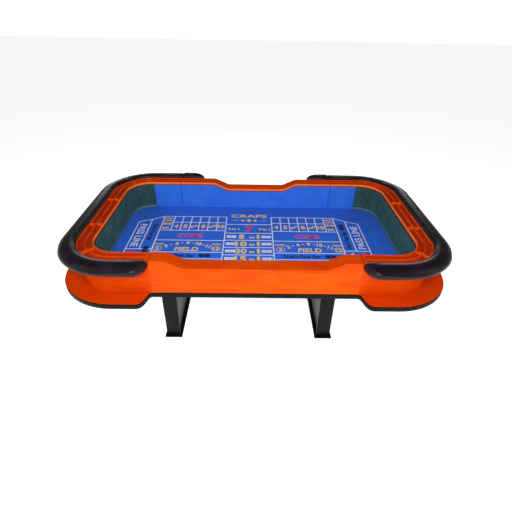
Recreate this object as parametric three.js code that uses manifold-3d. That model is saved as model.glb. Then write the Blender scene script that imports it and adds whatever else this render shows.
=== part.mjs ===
// A craps table that comes apart into three sections: a centre section on two
// pedestals, and two rounded end sections that push onto dowels and are held by hand knobs.
// Millimetres, +Z up, +X along the table, -Y towards the front, origin on the floor.
import * as THREE from "three";
import { mergeVertices } from "three/addons/utils/BufferGeometryUtils.js";
import Module from "manifold-3d";

const wasm = await Module();
wasm.setup();

// Driving dimensions.
const overallLength = 2440;
const innerHalfDepth = 526; // from the middle to the line of the inner face, at the long sides
const innerRadius = 170; // of that line, at the four corners
const seamX = 617; // where an end section meets the centre section
const railTop = 950;
const railThickness = 22;
const railWidth = 101;
const playHeight = 731;
const platformBottom = 691;
const platformThickness = 30;
const pedestalX = 582; // middle of each pedestal, before the offset
const pedestalOffset = -43; // both pedestals stand this far to one side

// A place's reach is how far it is outside the line of the inner face.
const edgeReach = 214; // edge of the platform, under the drink shelf
const flushReach = 102.5; // edge of the platform where there is no shelf
const apronReach = [83, 101];
const wallReach = [2, 14];
const bumperReach = [-12, 1.7];
const deckReach = 1.7;
const layoutReach = 1.2;
const restReach = [101.5, 207];

// Clearances.
const gap = 0.3; // between pieces that touch
const seamGap = 0.2; // on each side of a seam
const runningGap = 0.5; // round a pin or a screw

// The lowered middle of each long rail: flat to lowX, back at full height at highX.
const notchDrop = 50;
const frontNotch = { lowX: 417, highX: 524 };
const backNotch = { lowX: 226, highX: 333 };

// Chip grooves, by reach, and the dividers that stand in them.
const grooveReaches = [28, 74];
const grooveRadius = 21.5;
const grooveDepth = 17;
const grooveHeight = railTop - grooveDepth + grooveRadius;
const frontGrooveEnd = 641;
const backGrooveEnd = 447;
const dividerThickness = 7;
const dividerRise = 4; // above the rail
const dividerY = 190; // of the two dividers along an end

// Armrests.
const restBottom = 906;
const restTop = 975;
const frontRestEnd = 622;
const backRestEnd = 427;
const restTaper = 62;
const coreHeights = [918, 936];
const coreReach = [101.8, 157];

// Boards inside the table.
const deckThickness = 6.2;
const layoutThickness = 3.2;
const bumperBottom = playHeight + 0.5;
const bumperStartX = 833;
const shelfThickness = 4;

// Pedestals.
const footSize = [132, 562, 10];
const boardWidth = 104;
const boardThickness = 18;
const boardFront = 260;
const panelThickness = 12;
const panelInset = 15; // from the edge of the boards to the face of a side panel
const topPlateThickness = 7.7;
const topPlateInner = 70; // from the middle of the pedestal to the plate's inner edge
const topPlateHalfDepth = 263;

// Dowels and hand knobs.
const dowelRadius = 6;
const dowelHalfLength = 30;
const dowelY = 430;
const knobY = 150;
const knobHeadRadius = 20;
const knobLobe = 3;
const knobHeadHeight = 18;
const knobShaftRadius = 5;
const knobBoreDepth = 22;
const knobClearance = 32; // from a pedestal's boards to the knob's axis
const knobSeamClearance = 40;
const plateMargin = 30;

// Worked out from them.
const innerHalfLength = overallLength / 2 - edgeReach;
const cornerX = innerHalfLength - innerRadius;
const cornerY = innerHalfDepth - innerRadius;
const platformTop = platformBottom + platformThickness;
const standing = platformTop + gap; // foot of everything that stands on the platform
const underRail = railTop - railThickness;
const arcSegments = 8;

const finishes = {
  cherry: { color: 0xd8481a, roughness: 0.22, metalness: 0 },
  plywood: { color: 0xc9a06a, roughness: 0.8, metalness: 0 },
  blackEdge: { color: 0x141416, roughness: 0.45, metalness: 0 },
  vinyl: { color: 0x1b181c, roughness: 0.35, metalness: 0 },
  blueFelt: { color: 0x2a63cc, roughness: 0.95, metalness: 0 },
  printedFelt: { color: 0x2457c0, roughness: 0.95, metalness: 0 },
  greenRubber: { color: 0x24484f, roughness: 0.7, metalness: 0 },
  blackSteel: { color: 0x1e1a1b, roughness: 0.5, metalness: 0.3 },
  greyPanel: { color: 0x555558, roughness: 0.6, metalness: 0 },
  beech: { color: 0xd9b98a, roughness: 0.6, metalness: 0 },
  knobPlastic: { color: 0x202022, roughness: 0.4, metalness: 0 },
};

function piece(name, geometry, finish) {
  const mesh = new THREE.Mesh(geometry, new THREE.MeshStandardMaterial(finishes[finish]));
  mesh.name = name;
  return mesh;
}

// Booleans.
function solid(geometry) {
  const bare = geometry.clone();
  bare.deleteAttribute("normal");
  bare.deleteAttribute("uv");
  const merged = mergeVertices(bare, 1e-3);
  return new wasm.Manifold(
    new wasm.Mesh({
      numProp: 3,
      vertProperties: merged.attributes.position.array,
      triVerts: new Uint32Array(merged.index.array),
    }),
  );
}

function geometryOf(manifold) {
  const { vertProperties, triVerts } = manifold.getMesh();
  return new THREE.BufferGeometry()
    .setAttribute("position", new THREE.BufferAttribute(vertProperties, 3))
    .setIndex(new THREE.BufferAttribute(triVerts, 1));
}

function cut(geometry, cutters) {
  return geometryOf(cutters.reduce((body, cutter) => body.subtract(solid(cutter)), solid(geometry)));
}

function join(...geometries) {
  return geometryOf(geometries.map(solid).reduce((body, other) => body.add(other)));
}

// Plain shapes.
function box(low, high) {
  const size = high.map((value, axis) => value - low[axis]);
  return new THREE.BoxGeometry(...size).translate(...low.map((value, axis) => value + size[axis] / 2));
}

function rodAlongX(radius, fromX, toX, y, z, sides = 24) {
  return new THREE.CylinderGeometry(radius, radius, toX - fromX, sides)
    .rotateZ(Math.PI / 2)
    .translate((fromX + toX) / 2, y, z);
}

function rodAlongZ(radius, fromZ, toZ, x, y, sides = 16) {
  return new THREE.CylinderGeometry(radius, radius, toZ - fromZ, sides)
    .rotateX(Math.PI / 2)
    .translate(x, y, (fromZ + toZ) / 2);
}

// A flat outline, seen from above, made as thick as it needs to be.
function slab(shape, fromZ, toZ) {
  return new THREE.ExtrudeGeometry(shape, {
    depth: toZ - fromZ,
    bevelEnabled: false,
    curveSegments: arcSegments,
  }).translate(0, 0, fromZ);
}

// An outline seen from the front, made as deep as it needs to be.
function upright(shape, fromY, toY) {
  return new THREE.ExtrudeGeometry(shape, { depth: toY - fromY, bevelEnabled: false })
    .rotateX(Math.PI / 2)
    .translate(0, toY, 0);
}

function rectangle([fromX, toX], [fromY, toY]) {
  return new THREE.Shape([
    new THREE.Vector2(fromX, fromY),
    new THREE.Vector2(toX, fromY),
    new THREE.Vector2(toX, toY),
    new THREE.Vector2(fromX, toY),
  ]);
}

// The line of the inner face round the right-hand end, from the back to the front, as stations.
// Each has a point on the line and the direction out of the table there. fullness is 1, or less
// where an armrest tapers off.
function station(x, y, angle, fullness = 1) {
  return { x, y, outX: Math.cos(angle), outY: Math.sin(angle), fullness };
}

function backStation(x, fullness) {
  return station(x, innerHalfDepth, Math.PI / 2, fullness);
}

function frontStation(x, fullness) {
  return station(x, -innerHalfDepth, -Math.PI / 2, fullness);
}

function cornerStation(side, angle) {
  return station(
    cornerX + innerRadius * Math.cos(angle),
    side * cornerY + innerRadius * Math.sin(angle),
    angle,
  );
}

function endRun(back, front) {
  const corners = [];
  for (const side of [1, -1]) {
    const start = side > 0 ? Math.PI / 2 : 0;
    for (let i = 0; i <= arcSegments; i++)
      corners.push(cornerStation(side, start - (i / arcSegments) * (Math.PI / 2)));
  }
  return [...back, ...corners, ...front];
}

// A short straight stretch across the line, for a divider.
function shortRun({ x, y, outX, outY }, halfLength) {
  return [-halfLength, halfLength].map((along) => ({
    x: x + outY * along,
    y: y - outX * along,
    outX,
    outY,
  }));
}

// Sweeps a section along a run. The section's x is reach and its y is height.
function sweep(section, run, adjust = (reach, height) => [reach, height]) {
  const steps = run.length - 1;
  const geometry = new THREE.ExtrudeGeometry(section, {
    depth: steps,
    steps,
    bevelEnabled: false,
    curveSegments: arcSegments,
  });
  const position = geometry.attributes.position;
  for (let i = 0; i < position.count; i++) {
    const here = run[Math.round(position.getZ(i))];
    const [reach, height] = adjust(position.getX(i), position.getY(i), here);
    position.setXYZ(i, here.x + here.outX * reach, here.y + here.outY * reach, height);
  }
  return geometry;
}

// Sections.
function grooveArc(shape, reach, radius) {
  const half = Math.asin((grooveHeight - railTop) / radius);
  shape.absarc(reach, grooveHeight, radius, Math.PI + half, 2 * Math.PI - half, false);
}

function chipRailSection() {
  const shape = new THREE.Shape();
  shape.moveTo(0, underRail);
  shape.lineTo(0, railTop);
  for (const reach of grooveReaches) grooveArc(shape, reach, grooveRadius);
  shape.lineTo(railWidth, railTop);
  shape.lineTo(railWidth, underRail);
  return reversed(shape);
}

function dividerSection() {
  const shape = new THREE.Shape();
  const radius = grooveRadius - runningGap;
  const half = Math.asin((grooveHeight - railTop) / radius);
  const halfWidth = radius * Math.cos(half);
  const [first, last] = grooveReaches;
  shape.moveTo(first - halfWidth, railTop + dividerRise);
  shape.lineTo(first - halfWidth, railTop);
  grooveArc(shape, first, radius);
  shape.lineTo(first + halfWidth, railTop + gap);
  shape.lineTo(last - halfWidth, railTop + gap);
  grooveArc(shape, last, radius);
  shape.lineTo(last + halfWidth, railTop + dividerRise);
  return reversed(shape);
}

function armrestSection() {
  const [inner, outer] = restReach;
  const shape = new THREE.Shape();
  shape.moveTo(inner, restBottom + 3);
  shape.lineTo(inner, railTop + 4);
  shape.bezierCurveTo(inner + 3, restTop - 3, inner + 22, restTop, inner + 42, restTop);
  shape.bezierCurveTo(inner + 75, restTop, outer, restTop - 22, outer, restTop - 42);
  shape.bezierCurveTo(outer, restBottom + 8, outer - 12, restBottom, outer - 32, restBottom);
  shape.lineTo(inner + 3, restBottom);
  return reversed(shape);
}

// The extrusion wants its outline anticlockwise.
function reversed(shape) {
  const points = shape.getPoints(arcSegments);
  const kept = points.filter(
    (p, i) => p.distanceTo(points[(i + points.length - 1) % points.length]) > 1e-4,
  );
  return new THREE.Shape(THREE.ShapeUtils.isClockWise(kept) ? kept.reverse() : kept);
}

function taperArmrest(reach, height, { fullness }) {
  const middle = (restBottom + restTop) / 2;
  return [
    restReach[0] + (reach - restReach[0]) * fullness,
    middle + (height - middle) * (0.45 + 0.55 * fullness),
  ];
}

// Stations along a taper, from the very end towards the full section.
function taperStations(makeStation, endX, outwards) {
  return [0.04, 0.25, 0.6, 1].map((part) =>
    makeStation(endX + outwards * restTaper * part, Math.sqrt(1 - (1 - part) ** 2)),
  );
}

// Outlines seen from above. Their corners have the same facets as the swept pieces.
function addCorner(shape, x, y, radius, fromAngle, toAngle) {
  for (let i = 0; i <= arcSegments; i++) {
    const angle = fromAngle + ((toAngle - fromAngle) * i) / arcSegments;
    shape.lineTo(x + radius * Math.cos(angle), y + radius * Math.sin(angle));
  }
}

function addEnd(shape, reach) {
  addCorner(shape, cornerX, -cornerY, innerRadius + reach, -Math.PI / 2, 0);
  addCorner(shape, cornerX, cornerY, innerRadius + reach, 0, Math.PI / 2);
}

function endOutline(reach, fromX) {
  const shape = new THREE.Shape();
  shape.moveTo(fromX, -innerHalfDepth - reach);
  addEnd(shape, reach);
  shape.lineTo(fromX, innerHalfDepth + reach);
  return reversed(shape);
}

// The platform of an end: flush with the apron at the front seam, then an S out to the drink
// shelf, which runs on past the back seam.
const shelfCurveX = { start: seamX, end: 700 };

function addShelfCurve(shape, from, to, flat, full) {
  const length = to - from;
  shape.bezierCurveTo(from + length * 0.42, flat, from + length * 0.18, full, to, full);
}

function endPlatformOutline() {
  const flush = innerHalfDepth + flushReach;
  const full = innerHalfDepth + edgeReach;
  const shape = new THREE.Shape();
  shape.moveTo(seamX + seamGap, -flush);
  addShelfCurve(shape, shelfCurveX.start, shelfCurveX.end, -flush, -full);
  addEnd(shape, edgeReach);
  shape.lineTo(seamX + seamGap, full);
  return reversed(shape);
}

// The wooden top of a drink shelf, between the apron and the platform's edge.
const shelfInset = 3;
const shelfInnerReach = apronReach[1] + gap;

function endShelfOutline() {
  const flush = innerHalfDepth + flushReach - 0.5;
  const full = innerHalfDepth + edgeReach - shelfInset;
  const inner = innerHalfDepth + shelfInnerReach;
  const start = seamX + shelfInset + 8;
  const shape = new THREE.Shape();
  shape.moveTo(start, -flush);
  addShelfCurve(shape, start, shelfCurveX.end, -flush, -full);
  addEnd(shape, edgeReach - shelfInset);
  shape.lineTo(seamX + seamGap, full);
  shape.lineTo(seamX + seamGap, inner);
  addCorner(shape, cornerX, cornerY, innerRadius + shelfInnerReach, Math.PI / 2, 0);
  addCorner(shape, cornerX, -cornerY, innerRadius + shelfInnerReach, 0, -Math.PI / 2);
  shape.lineTo(start, -inner);
  return reversed(shape);
}

// On the centre section the shelf runs under the two short armrests only.
const backShelfCurve = { start: 415, end: 498 };

function backShelfOutline(inset, innerY) {
  const flush = innerHalfDepth + flushReach - (inset ? 0.5 : 0);
  const full = innerHalfDepth + edgeReach - inset;
  const start = backShelfCurve.start + inset * 3;
  const shape = new THREE.Shape();
  shape.moveTo(seamX - seamGap, innerY);
  shape.lineTo(seamX - seamGap, full);
  shape.lineTo(backShelfCurve.end, full);
  const length = backShelfCurve.end - start;
  shape.bezierCurveTo(
    start + length * 0.18, full, start + length * 0.42, flush, start, flush,
  );
  shape.lineTo(start, innerY);
  return reversed(shape);
}

function mirrored(geometry) {
  const copy = geometry.clone().scale(-1, 1, 1);
  const index = copy.index ? copy.index.array : null;
  const values = index ?? copy.attributes.position.array;
  const stride = index ? 1 : 3;
  for (let i = 0; i < values.length; i += 3 * stride)
    for (let j = 0; j < stride; j++)
      [values[i + stride + j], values[i + 2 * stride + j]] =
        [values[i + 2 * stride + j], values[i + stride + j]];
  return copy;
}

// How far a long rail is lowered at x.
function dropAt(x, { lowX, highX }) {
  const part = THREE.MathUtils.clamp((highX - Math.abs(x)) / (highX - lowX), 0, 1);
  return notchDrop * part;
}

// A strip of the centre section, whose top edge follows the notch.
function notchedStrip(notch, top, bottomAt) {
  const { lowX, highX } = notch;
  const end = seamX - seamGap;
  const xs = [-end, -highX, -lowX, lowX, highX, end];
  const upper = xs.map((x) => new THREE.Vector2(x, top - dropAt(x, notch)));
  const lower = [...xs].reverse().map((x) => new THREE.Vector2(x, bottomAt(x)));
  const straight = bottomAt(0) === bottomAt(seamX);
  const under = straight ? [lower[0], lower[lower.length - 1]] : lower;
  return new THREE.Shape([...upper, ...under].reverse());
}

// The two long sides of the centre section: apron, inner wall and rail.
function longSide(name, side, notch) {
  const span = ([near, far]) =>
    side > 0
      ? [innerHalfDepth + near, innerHalfDepth + far]
      : [-innerHalfDepth - far, -innerHalfDepth - near];
  const board = notchedStrip(notch, underRail - gap, () => standing);
  const rail = notchedStrip(notch, railTop, (x) => underRail - dropAt(x, notch));
  const grooves = [];
  if (side > 0)
    for (const end of [-1, 1])
      for (const reach of grooveReaches) {
        const xs = [end * backGrooveEnd, end * (seamX + 1)].sort((a, b) => a - b);
        grooves.push(rodAlongX(grooveRadius, ...xs, innerHalfDepth + reach, grooveHeight));
      }
  return [
    piece(`${name}_apron`, upright(board, ...span(apronReach)), "cherry"),
    piece(`${name}_inner_wall`, upright(board, ...span(wallReach)), "blueFelt"),
    piece(`${name}_rail`, cut(upright(rail, ...span([0, railWidth])), grooves), "cherry"),
  ];
}

function dowelBore(side, y) {
  const reach = dowelHalfLength + 1;
  const xs = [side * seamX - reach, side * seamX + reach];
  return rodAlongX(dowelRadius + runningGap, ...xs, y, platformBottom + platformThickness / 2, 16);
}

function centrePlatform() {
  const edge = innerHalfDepth + flushReach;
  const board = box(
    [-seamX + seamGap, -edge, platformBottom],
    [seamX - seamGap, edge, platformTop],
  );
  const shelf = slab(backShelfOutline(0, edge - 10), platformBottom, platformTop);
  const bores = [-1, 1].flatMap((side) => [-dowelY, dowelY].map((y) => dowelBore(side, y)));
  return cut(join(board, shelf, mirrored(shelf)), bores);
}

function shortArmrest() {
  const run = [
    ...taperStations(backStation, backRestEnd, 1),
    backStation(seamX - seamGap),
  ];
  return sweep(armrestSection(), run, taperArmrest);
}

function layoutOutline() {
  const x = innerHalfLength + layoutReach;
  const y = innerHalfDepth + layoutReach;
  const r = innerRadius + layoutReach;
  const shape = new THREE.Shape();
  shape.moveTo(-x + r, -y);
  addCorner(shape, x - r, -y + r, r, -Math.PI / 2, 0);
  addCorner(shape, x - r, y - r, r, 0, Math.PI / 2);
  addCorner(shape, -x + r, y - r, r, Math.PI / 2, Math.PI);
  addCorner(shape, -x + r, -y + r, r, Math.PI, 1.5 * Math.PI);
  return reversed(shape);
}

// Where the hand knobs of a side stand: clear of the seam and of the pedestal.
function pedestalMiddle(side) {
  return side * pedestalX + pedestalOffset;
}

function knobX(side) {
  const clearOfBoards = Math.abs(pedestalMiddle(side)) + boardWidth / 2 + knobClearance;
  return side * Math.max(seamX + knobSeamClearance, clearOfBoards);
}

// A pedestal: two boards and two side panels between a foot plate and a top plate. The top
// plate reaches under the end section, with slots open outwards for the hand knobs.
function pedestal(name, side) {
  const group = new THREE.Group();
  const middle = pedestalMiddle(side);
  group.position.x = middle;
  const [footWidth, footDepth, footThickness] = footSize;
  const low = footThickness + gap;
  const plateLow = platformBottom - gap - topPlateThickness;
  const high = plateLow - gap;
  const foot = box([-footWidth / 2, -footDepth / 2, 0], [footWidth / 2, footDepth / 2, footThickness]);
  group.add(piece(`${name}_foot_plate`, foot, "blackSteel"));
  for (const [place, y] of [["front", -boardFront], ["back", boardFront - boardThickness]]) {
    const board = box([-boardWidth / 2, y, low], [boardWidth / 2, y + boardThickness, high]);
    group.add(piece(`${name}_${place}_board`, board, "blackSteel"));
  }
  const panelDepth = boardFront - boardThickness - gap;
  const panelFace = boardWidth / 2 - panelInset;
  for (const [place, towards] of [["inner", -side], ["outer", side]]) {
    const xs = [towards * panelFace, towards * (panelFace - panelThickness)].sort((a, b) => a - b);
    const panel = box([xs[0], -panelDepth, low], [xs[1], panelDepth, high]);
    group.add(piece(`${name}_${place}_panel`, panel, "greyPanel"));
  }
  const knob = knobX(side) - middle;
  const outer = knob + side * plateMargin;
  const plateXs = [-side * topPlateInner, outer].sort((a, b) => a - b);
  const plate = box(
    [plateXs[0], -topPlateHalfDepth, plateLow],
    [plateXs[1], topPlateHalfDepth, plateLow + topPlateThickness],
  );
  const slotHalf = knobShaftRadius + 1;
  const slots = [-knobY, knobY].map((y) => {
    const xs = [knob - side * slotHalf, outer + side].sort((a, b) => a - b);
    return box([xs[0], y - slotHalf, plateLow - 1], [xs[1], y + slotHalf, platformBottom]);
  });
  group.add(piece(`${name}_top_plate`, cut(plate, slots), "blackSteel"));
  return group;
}

// A hand knob, lobed so that it can be gripped, with the screw that goes up into the platform.
function knob() {
  const top = platformBottom - 2 * gap - topPlateThickness;
  const outline = [];
  const points = 30;
  for (let i = 0; i < points; i++) {
    const angle = (i / points) * 2 * Math.PI;
    const radius = knobHeadRadius + knobLobe * Math.cos(5 * angle);
    outline.push(new THREE.Vector2(radius * Math.cos(angle), radius * Math.sin(angle)));
  }
  const head = slab(new THREE.Shape(outline), top - knobHeadHeight, top);
  const screwEnd = platformBottom + knobBoreDepth - 2;
  return join(head, rodAlongZ(knobShaftRadius, top - 5, screwEnd, 0, 0, 12));
}

// An end section, made for the right-hand side. The left-hand one is its mirror image.
function endSection(name, side) {
  const group = new THREE.Group();
  const add = (part, geometry, finish) => {
    const turned = side < 0 ? mirrored(geometry) : geometry;
    group.add(piece(`${name}_${part}`, turned, finish));
  };
  const start = seamX + seamGap;
  const plainRun = endRun([backStation(start)], [frontStation(start)]);
  const boardHeights = [standing, underRail - gap];

  const screwX = Math.abs(knobX(side));
  const bores = [-dowelY, dowelY].map((y) => dowelBore(1, y));
  for (const y of [-knobY, knobY])
    bores.push(
      rodAlongZ(
        knobShaftRadius + runningGap, platformBottom - 1, platformBottom + knobBoreDepth, screwX, y,
      ),
    );
  add("platform", cut(slab(endPlatformOutline(), platformBottom, platformTop), bores), "blackEdge");
  add("drink_shelf", slab(endShelfOutline(), standing, standing + shelfThickness), "cherry");
  add("deck", slab(endOutline(deckReach, start), standing, standing + deckThickness), "plywood");
  add("apron", sweep(rectangle(apronReach, boardHeights), plainRun), "cherry");
  add("inner_wall", sweep(rectangle(wallReach, boardHeights), plainRun), "blueFelt");

  const bumperRun = endRun([backStation(bumperStartX)], [frontStation(bumperStartX)]);
  const bumperSection = rectangle(bumperReach, [bumperBottom, underRail - gap]);
  add("rubber_bumper", sweep(bumperSection, bumperRun), "greenRubber");

  // At the front the grooves stop short of the seam, and the rail's top is plain there.
  const plainEnd = [frontStation(frontGrooveEnd), frontStation(frontGrooveEnd - 1, 0)];
  const railRun = endRun([backStation(start)], [...plainEnd, frontStation(start, 0)]);
  const levelGrooves = (reach, height, { fullness }) =>
    height > underRail ? [reach, railTop - (railTop - height) * fullness] : [reach, height];
  add("chip_rail", sweep(chipRailSection(), railRun, levelGrooves), "cherry");

  const frontTaper = taperStations(frontStation, frontRestEnd, 1).reverse();
  const restRun = endRun([backStation(start)], frontTaper);
  const coreRun = endRun([backStation(start)], [frontStation(frontRestEnd + 2 * restTaper)]);
  const corePocketRun = endRun(
    [backStation(start - 1)],
    [frontStation(frontRestEnd + 2 * restTaper - 1)],
  );
  const corePocket = sweep(
    rectangle(
      [restReach[0] - 1, coreReach[1] + gap],
      [coreHeights[0] - gap, coreHeights[1] + gap],
    ),
    corePocketRun,
  );
  add("armrest", cut(sweep(armrestSection(), restRun, taperArmrest), [corePocket]), "vinyl");
  add("armrest_core", sweep(rectangle(coreReach, coreHeights), coreRun), "plywood");

  const dividerPlaces = [
    cornerStation(1, Math.PI / 4),
    station(innerHalfLength, dividerY, 0),
    station(innerHalfLength, -dividerY, 0),
    cornerStation(-1, -Math.PI / 4),
  ];
  dividerPlaces.forEach((place, i) => {
    const divider = sweep(dividerSection(), shortRun(place, dividerThickness / 2));
    add(`chip_divider_${i + 1}`, divider, "cherry");
  });
  return group;
}

function joiningHardware(name, side) {
  const group = new THREE.Group();
  for (const [place, direction] of [["front", -1], ["back", 1]]) {
    const screw = piece(`${name}_${place}_knob`, knob(), "knobPlastic");
    screw.position.set(knobX(side), direction * knobY, 0);
    const xs = [side * seamX - dowelHalfLength, side * seamX + dowelHalfLength];
    const height = platformBottom + platformThickness / 2;
    const dowel = rodAlongX(dowelRadius, ...xs, direction * dowelY, height, 16);
    group.add(screw, piece(`${name}_${place}_dowel`, dowel, "beech"));
  }
  return group;
}

const centre = new THREE.Group();
centre.add(piece("centre_platform", centrePlatform(), "blackEdge"));
centre.add(
  piece(
    "centre_deck",
    box(
      [-seamX + seamGap, -innerHalfDepth - deckReach, standing],
      [seamX - seamGap, innerHalfDepth + deckReach, standing + deckThickness],
    ),
    "plywood",
  ),
);
centre.add(...longSide("front", -1, frontNotch), ...longSide("back", 1, backNotch));
centre.add(
  piece(
    "playing_layout",
    slab(layoutOutline(), playHeight - layoutThickness, playHeight),
    "printedFelt",
  ),
);

const shelfInnerY = innerHalfDepth + shelfInnerReach;
const backShelf = slab(
  backShelfOutline(shelfInset, shelfInnerY), standing, standing + shelfThickness,
);
centre.add(piece("back_right_drink_shelf", backShelf, "cherry"));
centre.add(piece("back_left_drink_shelf", mirrored(backShelf), "cherry"));
centre.add(piece("back_right_armrest", shortArmrest(), "vinyl"));
centre.add(piece("back_left_armrest", mirrored(shortArmrest()), "vinyl"));
centre.add(pedestal("left_pedestal", -1), pedestal("right_pedestal", 1));

const crapsTable = new THREE.Group();
crapsTable.add(centre);
for (const [name, side] of [["left", -1], ["right", 1]])
  crapsTable.add(endSection(name, side), joiningHardware(name, side));

export default crapsTable;
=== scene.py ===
import math

import bpy
import numpy as np
from bpy.props import FloatProperty, FloatVectorProperty, PointerProperty
from bpy.types import Operator, Panel, PropertyGroup
from mathutils import Matrix, Vector


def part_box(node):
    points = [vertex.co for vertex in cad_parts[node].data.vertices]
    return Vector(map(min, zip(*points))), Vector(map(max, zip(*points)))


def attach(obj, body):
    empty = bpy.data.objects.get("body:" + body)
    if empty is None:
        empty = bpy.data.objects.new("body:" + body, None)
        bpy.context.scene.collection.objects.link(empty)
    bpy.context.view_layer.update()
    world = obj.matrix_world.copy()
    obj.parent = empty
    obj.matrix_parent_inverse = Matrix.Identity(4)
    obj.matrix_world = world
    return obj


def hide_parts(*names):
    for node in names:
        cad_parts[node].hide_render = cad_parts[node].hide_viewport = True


bl_info = {
    "name": "Craps Table",
    "version": (1, 0, 0),
    "blender": (4, 5, 0),
    "location": "View3D > Sidebar > Craps Table",
    "description": "Builds the finished pieces of a craps table round its frame",
    "category": "Add Mesh",
}

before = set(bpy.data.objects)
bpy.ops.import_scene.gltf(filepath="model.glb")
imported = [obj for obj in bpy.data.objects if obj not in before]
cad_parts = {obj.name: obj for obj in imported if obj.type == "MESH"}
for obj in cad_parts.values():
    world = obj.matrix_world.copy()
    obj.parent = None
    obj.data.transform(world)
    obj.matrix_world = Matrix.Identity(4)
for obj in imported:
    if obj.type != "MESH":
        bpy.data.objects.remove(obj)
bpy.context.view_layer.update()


def low(node):
    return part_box(node)[0]


def high(node):
    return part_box(node)[1]


# Places that come from the frame. A place's reach is how far it is outside the line of the
# tray's inner face.
SEAM_X = high("centre_deck").x
INNER_Y = -high("front_rail").y
RAIL_WIDTH = high("front_rail").y - low("front_rail").y
INNER_X = high("right_chip_rail").x - RAIL_WIDTH
RAIL_TOP = high("right_chip_rail").z
RAIL_THICKNESS = RAIL_TOP - low("right_chip_rail").z
APRON_OUTER = -low("front_apron").y - INNER_Y
APRON_INNER = -high("front_apron").y - INNER_Y
APRON_LOW = low("front_apron").z
PLATFORM_LOW = low("centre_platform").z
PLATFORM_TOP = high("centre_platform").z
PLATFORM_REACH = high("right_platform").x - INNER_X
PLATFORM_FLUSH = -low("centre_platform").y - INNER_Y
SHELF_TOP = high("right_drink_shelf").z
SHELF_LOW = low("right_drink_shelf").z
SHELF_REACH = high("right_drink_shelf").x - INNER_X
REST_OUTER = high("right_armrest").x - INNER_X
REST_INNER = APRON_OUTER + 0.0006
REST_LOW = low("right_armrest").z
REST_TOP = high("right_armrest").z
FRONT_REST_END = low("right_armrest").x
PLAY_TOP = high("playing_layout").z
PLAY_LOW = low("playing_layout").z
BUMPER_LOW = low("right_rubber_bumper").z
BUMPER_TOP = high("right_rubber_bumper").z
BUMPER_START = low("right_rubber_bumper").x

BODIES = {"left": "left_section", "right": "right_section", "centre": "centre_section"}
SIDES = {"left": -1, "right": 1}
SEAM_START = SEAM_X + 0.0004  # where the end sections begin
TOUCH_GAP = 0.0003  # between pieces that touch


# Shader maths ---------------------------------------------------------------------------------


class Socket:
    """A shader socket that stands in Python arithmetic; each operation adds a Math node."""

    def __init__(self, shader, output):
        self.shader = shader
        self.output = output

    def named(self, name):
        return Socket(self.shader, self.output.node.outputs[name])

    def math(self, operation, *operands):
        inputs = dict(enumerate(operands))
        return self.shader.node("ShaderNodeMath", {"operation": operation}, inputs)

    def __add__(self, other):
        return self.math("ADD", self, other)

    def __radd__(self, other):
        return self.math("ADD", other, self)

    def __sub__(self, other):
        return self.math("SUBTRACT", self, other)

    def __rsub__(self, other):
        return self.math("SUBTRACT", other, self)

    def __mul__(self, other):
        return self.math("MULTIPLY", self, other)

    def __rmul__(self, other):
        return self.math("MULTIPLY", other, self)

    def ramp(self, start, end):
        """0 at start, 1 at end, clamped."""
        settings = {"clamp": True, "interpolation_type": "SMOOTHSTEP"}
        inputs = {"Value": self, "From Min": start, "From Max": end}
        return self.shader.node("ShaderNodeMapRange", settings, inputs)


class Shader:
    """The node tree of a material, with its one Principled shader, or of a world."""

    def __init__(self, name, owner=None):
        self.material = owner or bpy.data.materials.new(name)
        self.material.use_nodes = True
        self.tree = self.material.node_tree
        self.principled = self.tree.nodes.get("Principled BSDF")

    def node(self, kind, settings=None, inputs=None):
        node = self.tree.nodes.new(kind)
        for name, value in (settings or {}).items():
            setattr(node, name, value)
        for key, value in (inputs or {}).items():
            self.feed(node.inputs[key], value)
        return Socket(self, node.outputs[0])

    def feed(self, socket, value):
        if isinstance(value, Socket):
            self.tree.links.new(value.output, socket)
        elif hasattr(socket.default_value, "__len__") and len(socket.default_value) == 4:
            socket.default_value = (*value[:3], 1.0)
        else:
            socket.default_value = value

    def set(self, **values):
        for name, value in values.items():
            socket = name.replace("_", " ").title().replace("Ior", "IOR")
            self.feed(self.principled.inputs[socket], value)

    def place(self, grain=False):
        """Where a point is: along, across and up the board, or in the object's own frame."""
        if grain:
            settings = {"attribute_type": "GEOMETRY", "attribute_name": "grain"}
            return self.node("ShaderNodeAttribute", settings).named("Vector")
        return self.node("ShaderNodeTexCoord").named("Object")

    def split(self, vector):
        return self.node("ShaderNodeSeparateXYZ", None, {0: vector})

    def scaled(self, vector, scale):
        settings = {"operation": "MULTIPLY"}
        return self.node("ShaderNodeVectorMath", settings, {0: vector, 1: scale})

    def noise(self, vector, scale, detail=3.0, roughness=0.55, distortion=0.0):
        inputs = {
            "Vector": vector,
            "Scale": scale,
            "Detail": detail,
            "Roughness": roughness,
            "Distortion": distortion,
        }
        return self.node("ShaderNodeTexNoise", None, inputs)

    def cells(self, vector, scale, feature="F1"):
        inputs = {"Vector": vector, "Scale": scale}
        return self.node("ShaderNodeTexVoronoi", {"feature": feature}, inputs)

    def mix(self, factor, first, second):
        node = self.tree.nodes.new("ShaderNodeMix")
        node.data_type = "RGBA"
        sockets = [s for s in node.inputs if s.enabled]
        for socket, value in zip(sockets, (factor, first, second)):
            self.feed(socket, value)
        return Socket(self, next(s for s in node.outputs if s.enabled))

    def bump(self, height, strength, distance=0.001):
        inputs = {"Height": height, "Strength": strength, "Distance": distance}
        self.set(normal=self.node("ShaderNodeBump", None, inputs))


def settings():
    return bpy.context.scene.craps_table_sizes


def colours():
    return bpy.context.scene.craps_table_colours


MATERIALS = {}


def material(name):
    """The named finish, made once."""
    if name not in MATERIALS:
        MATERIALS[name] = FINISHES[name](name).material
    return MATERIALS[name]


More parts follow.
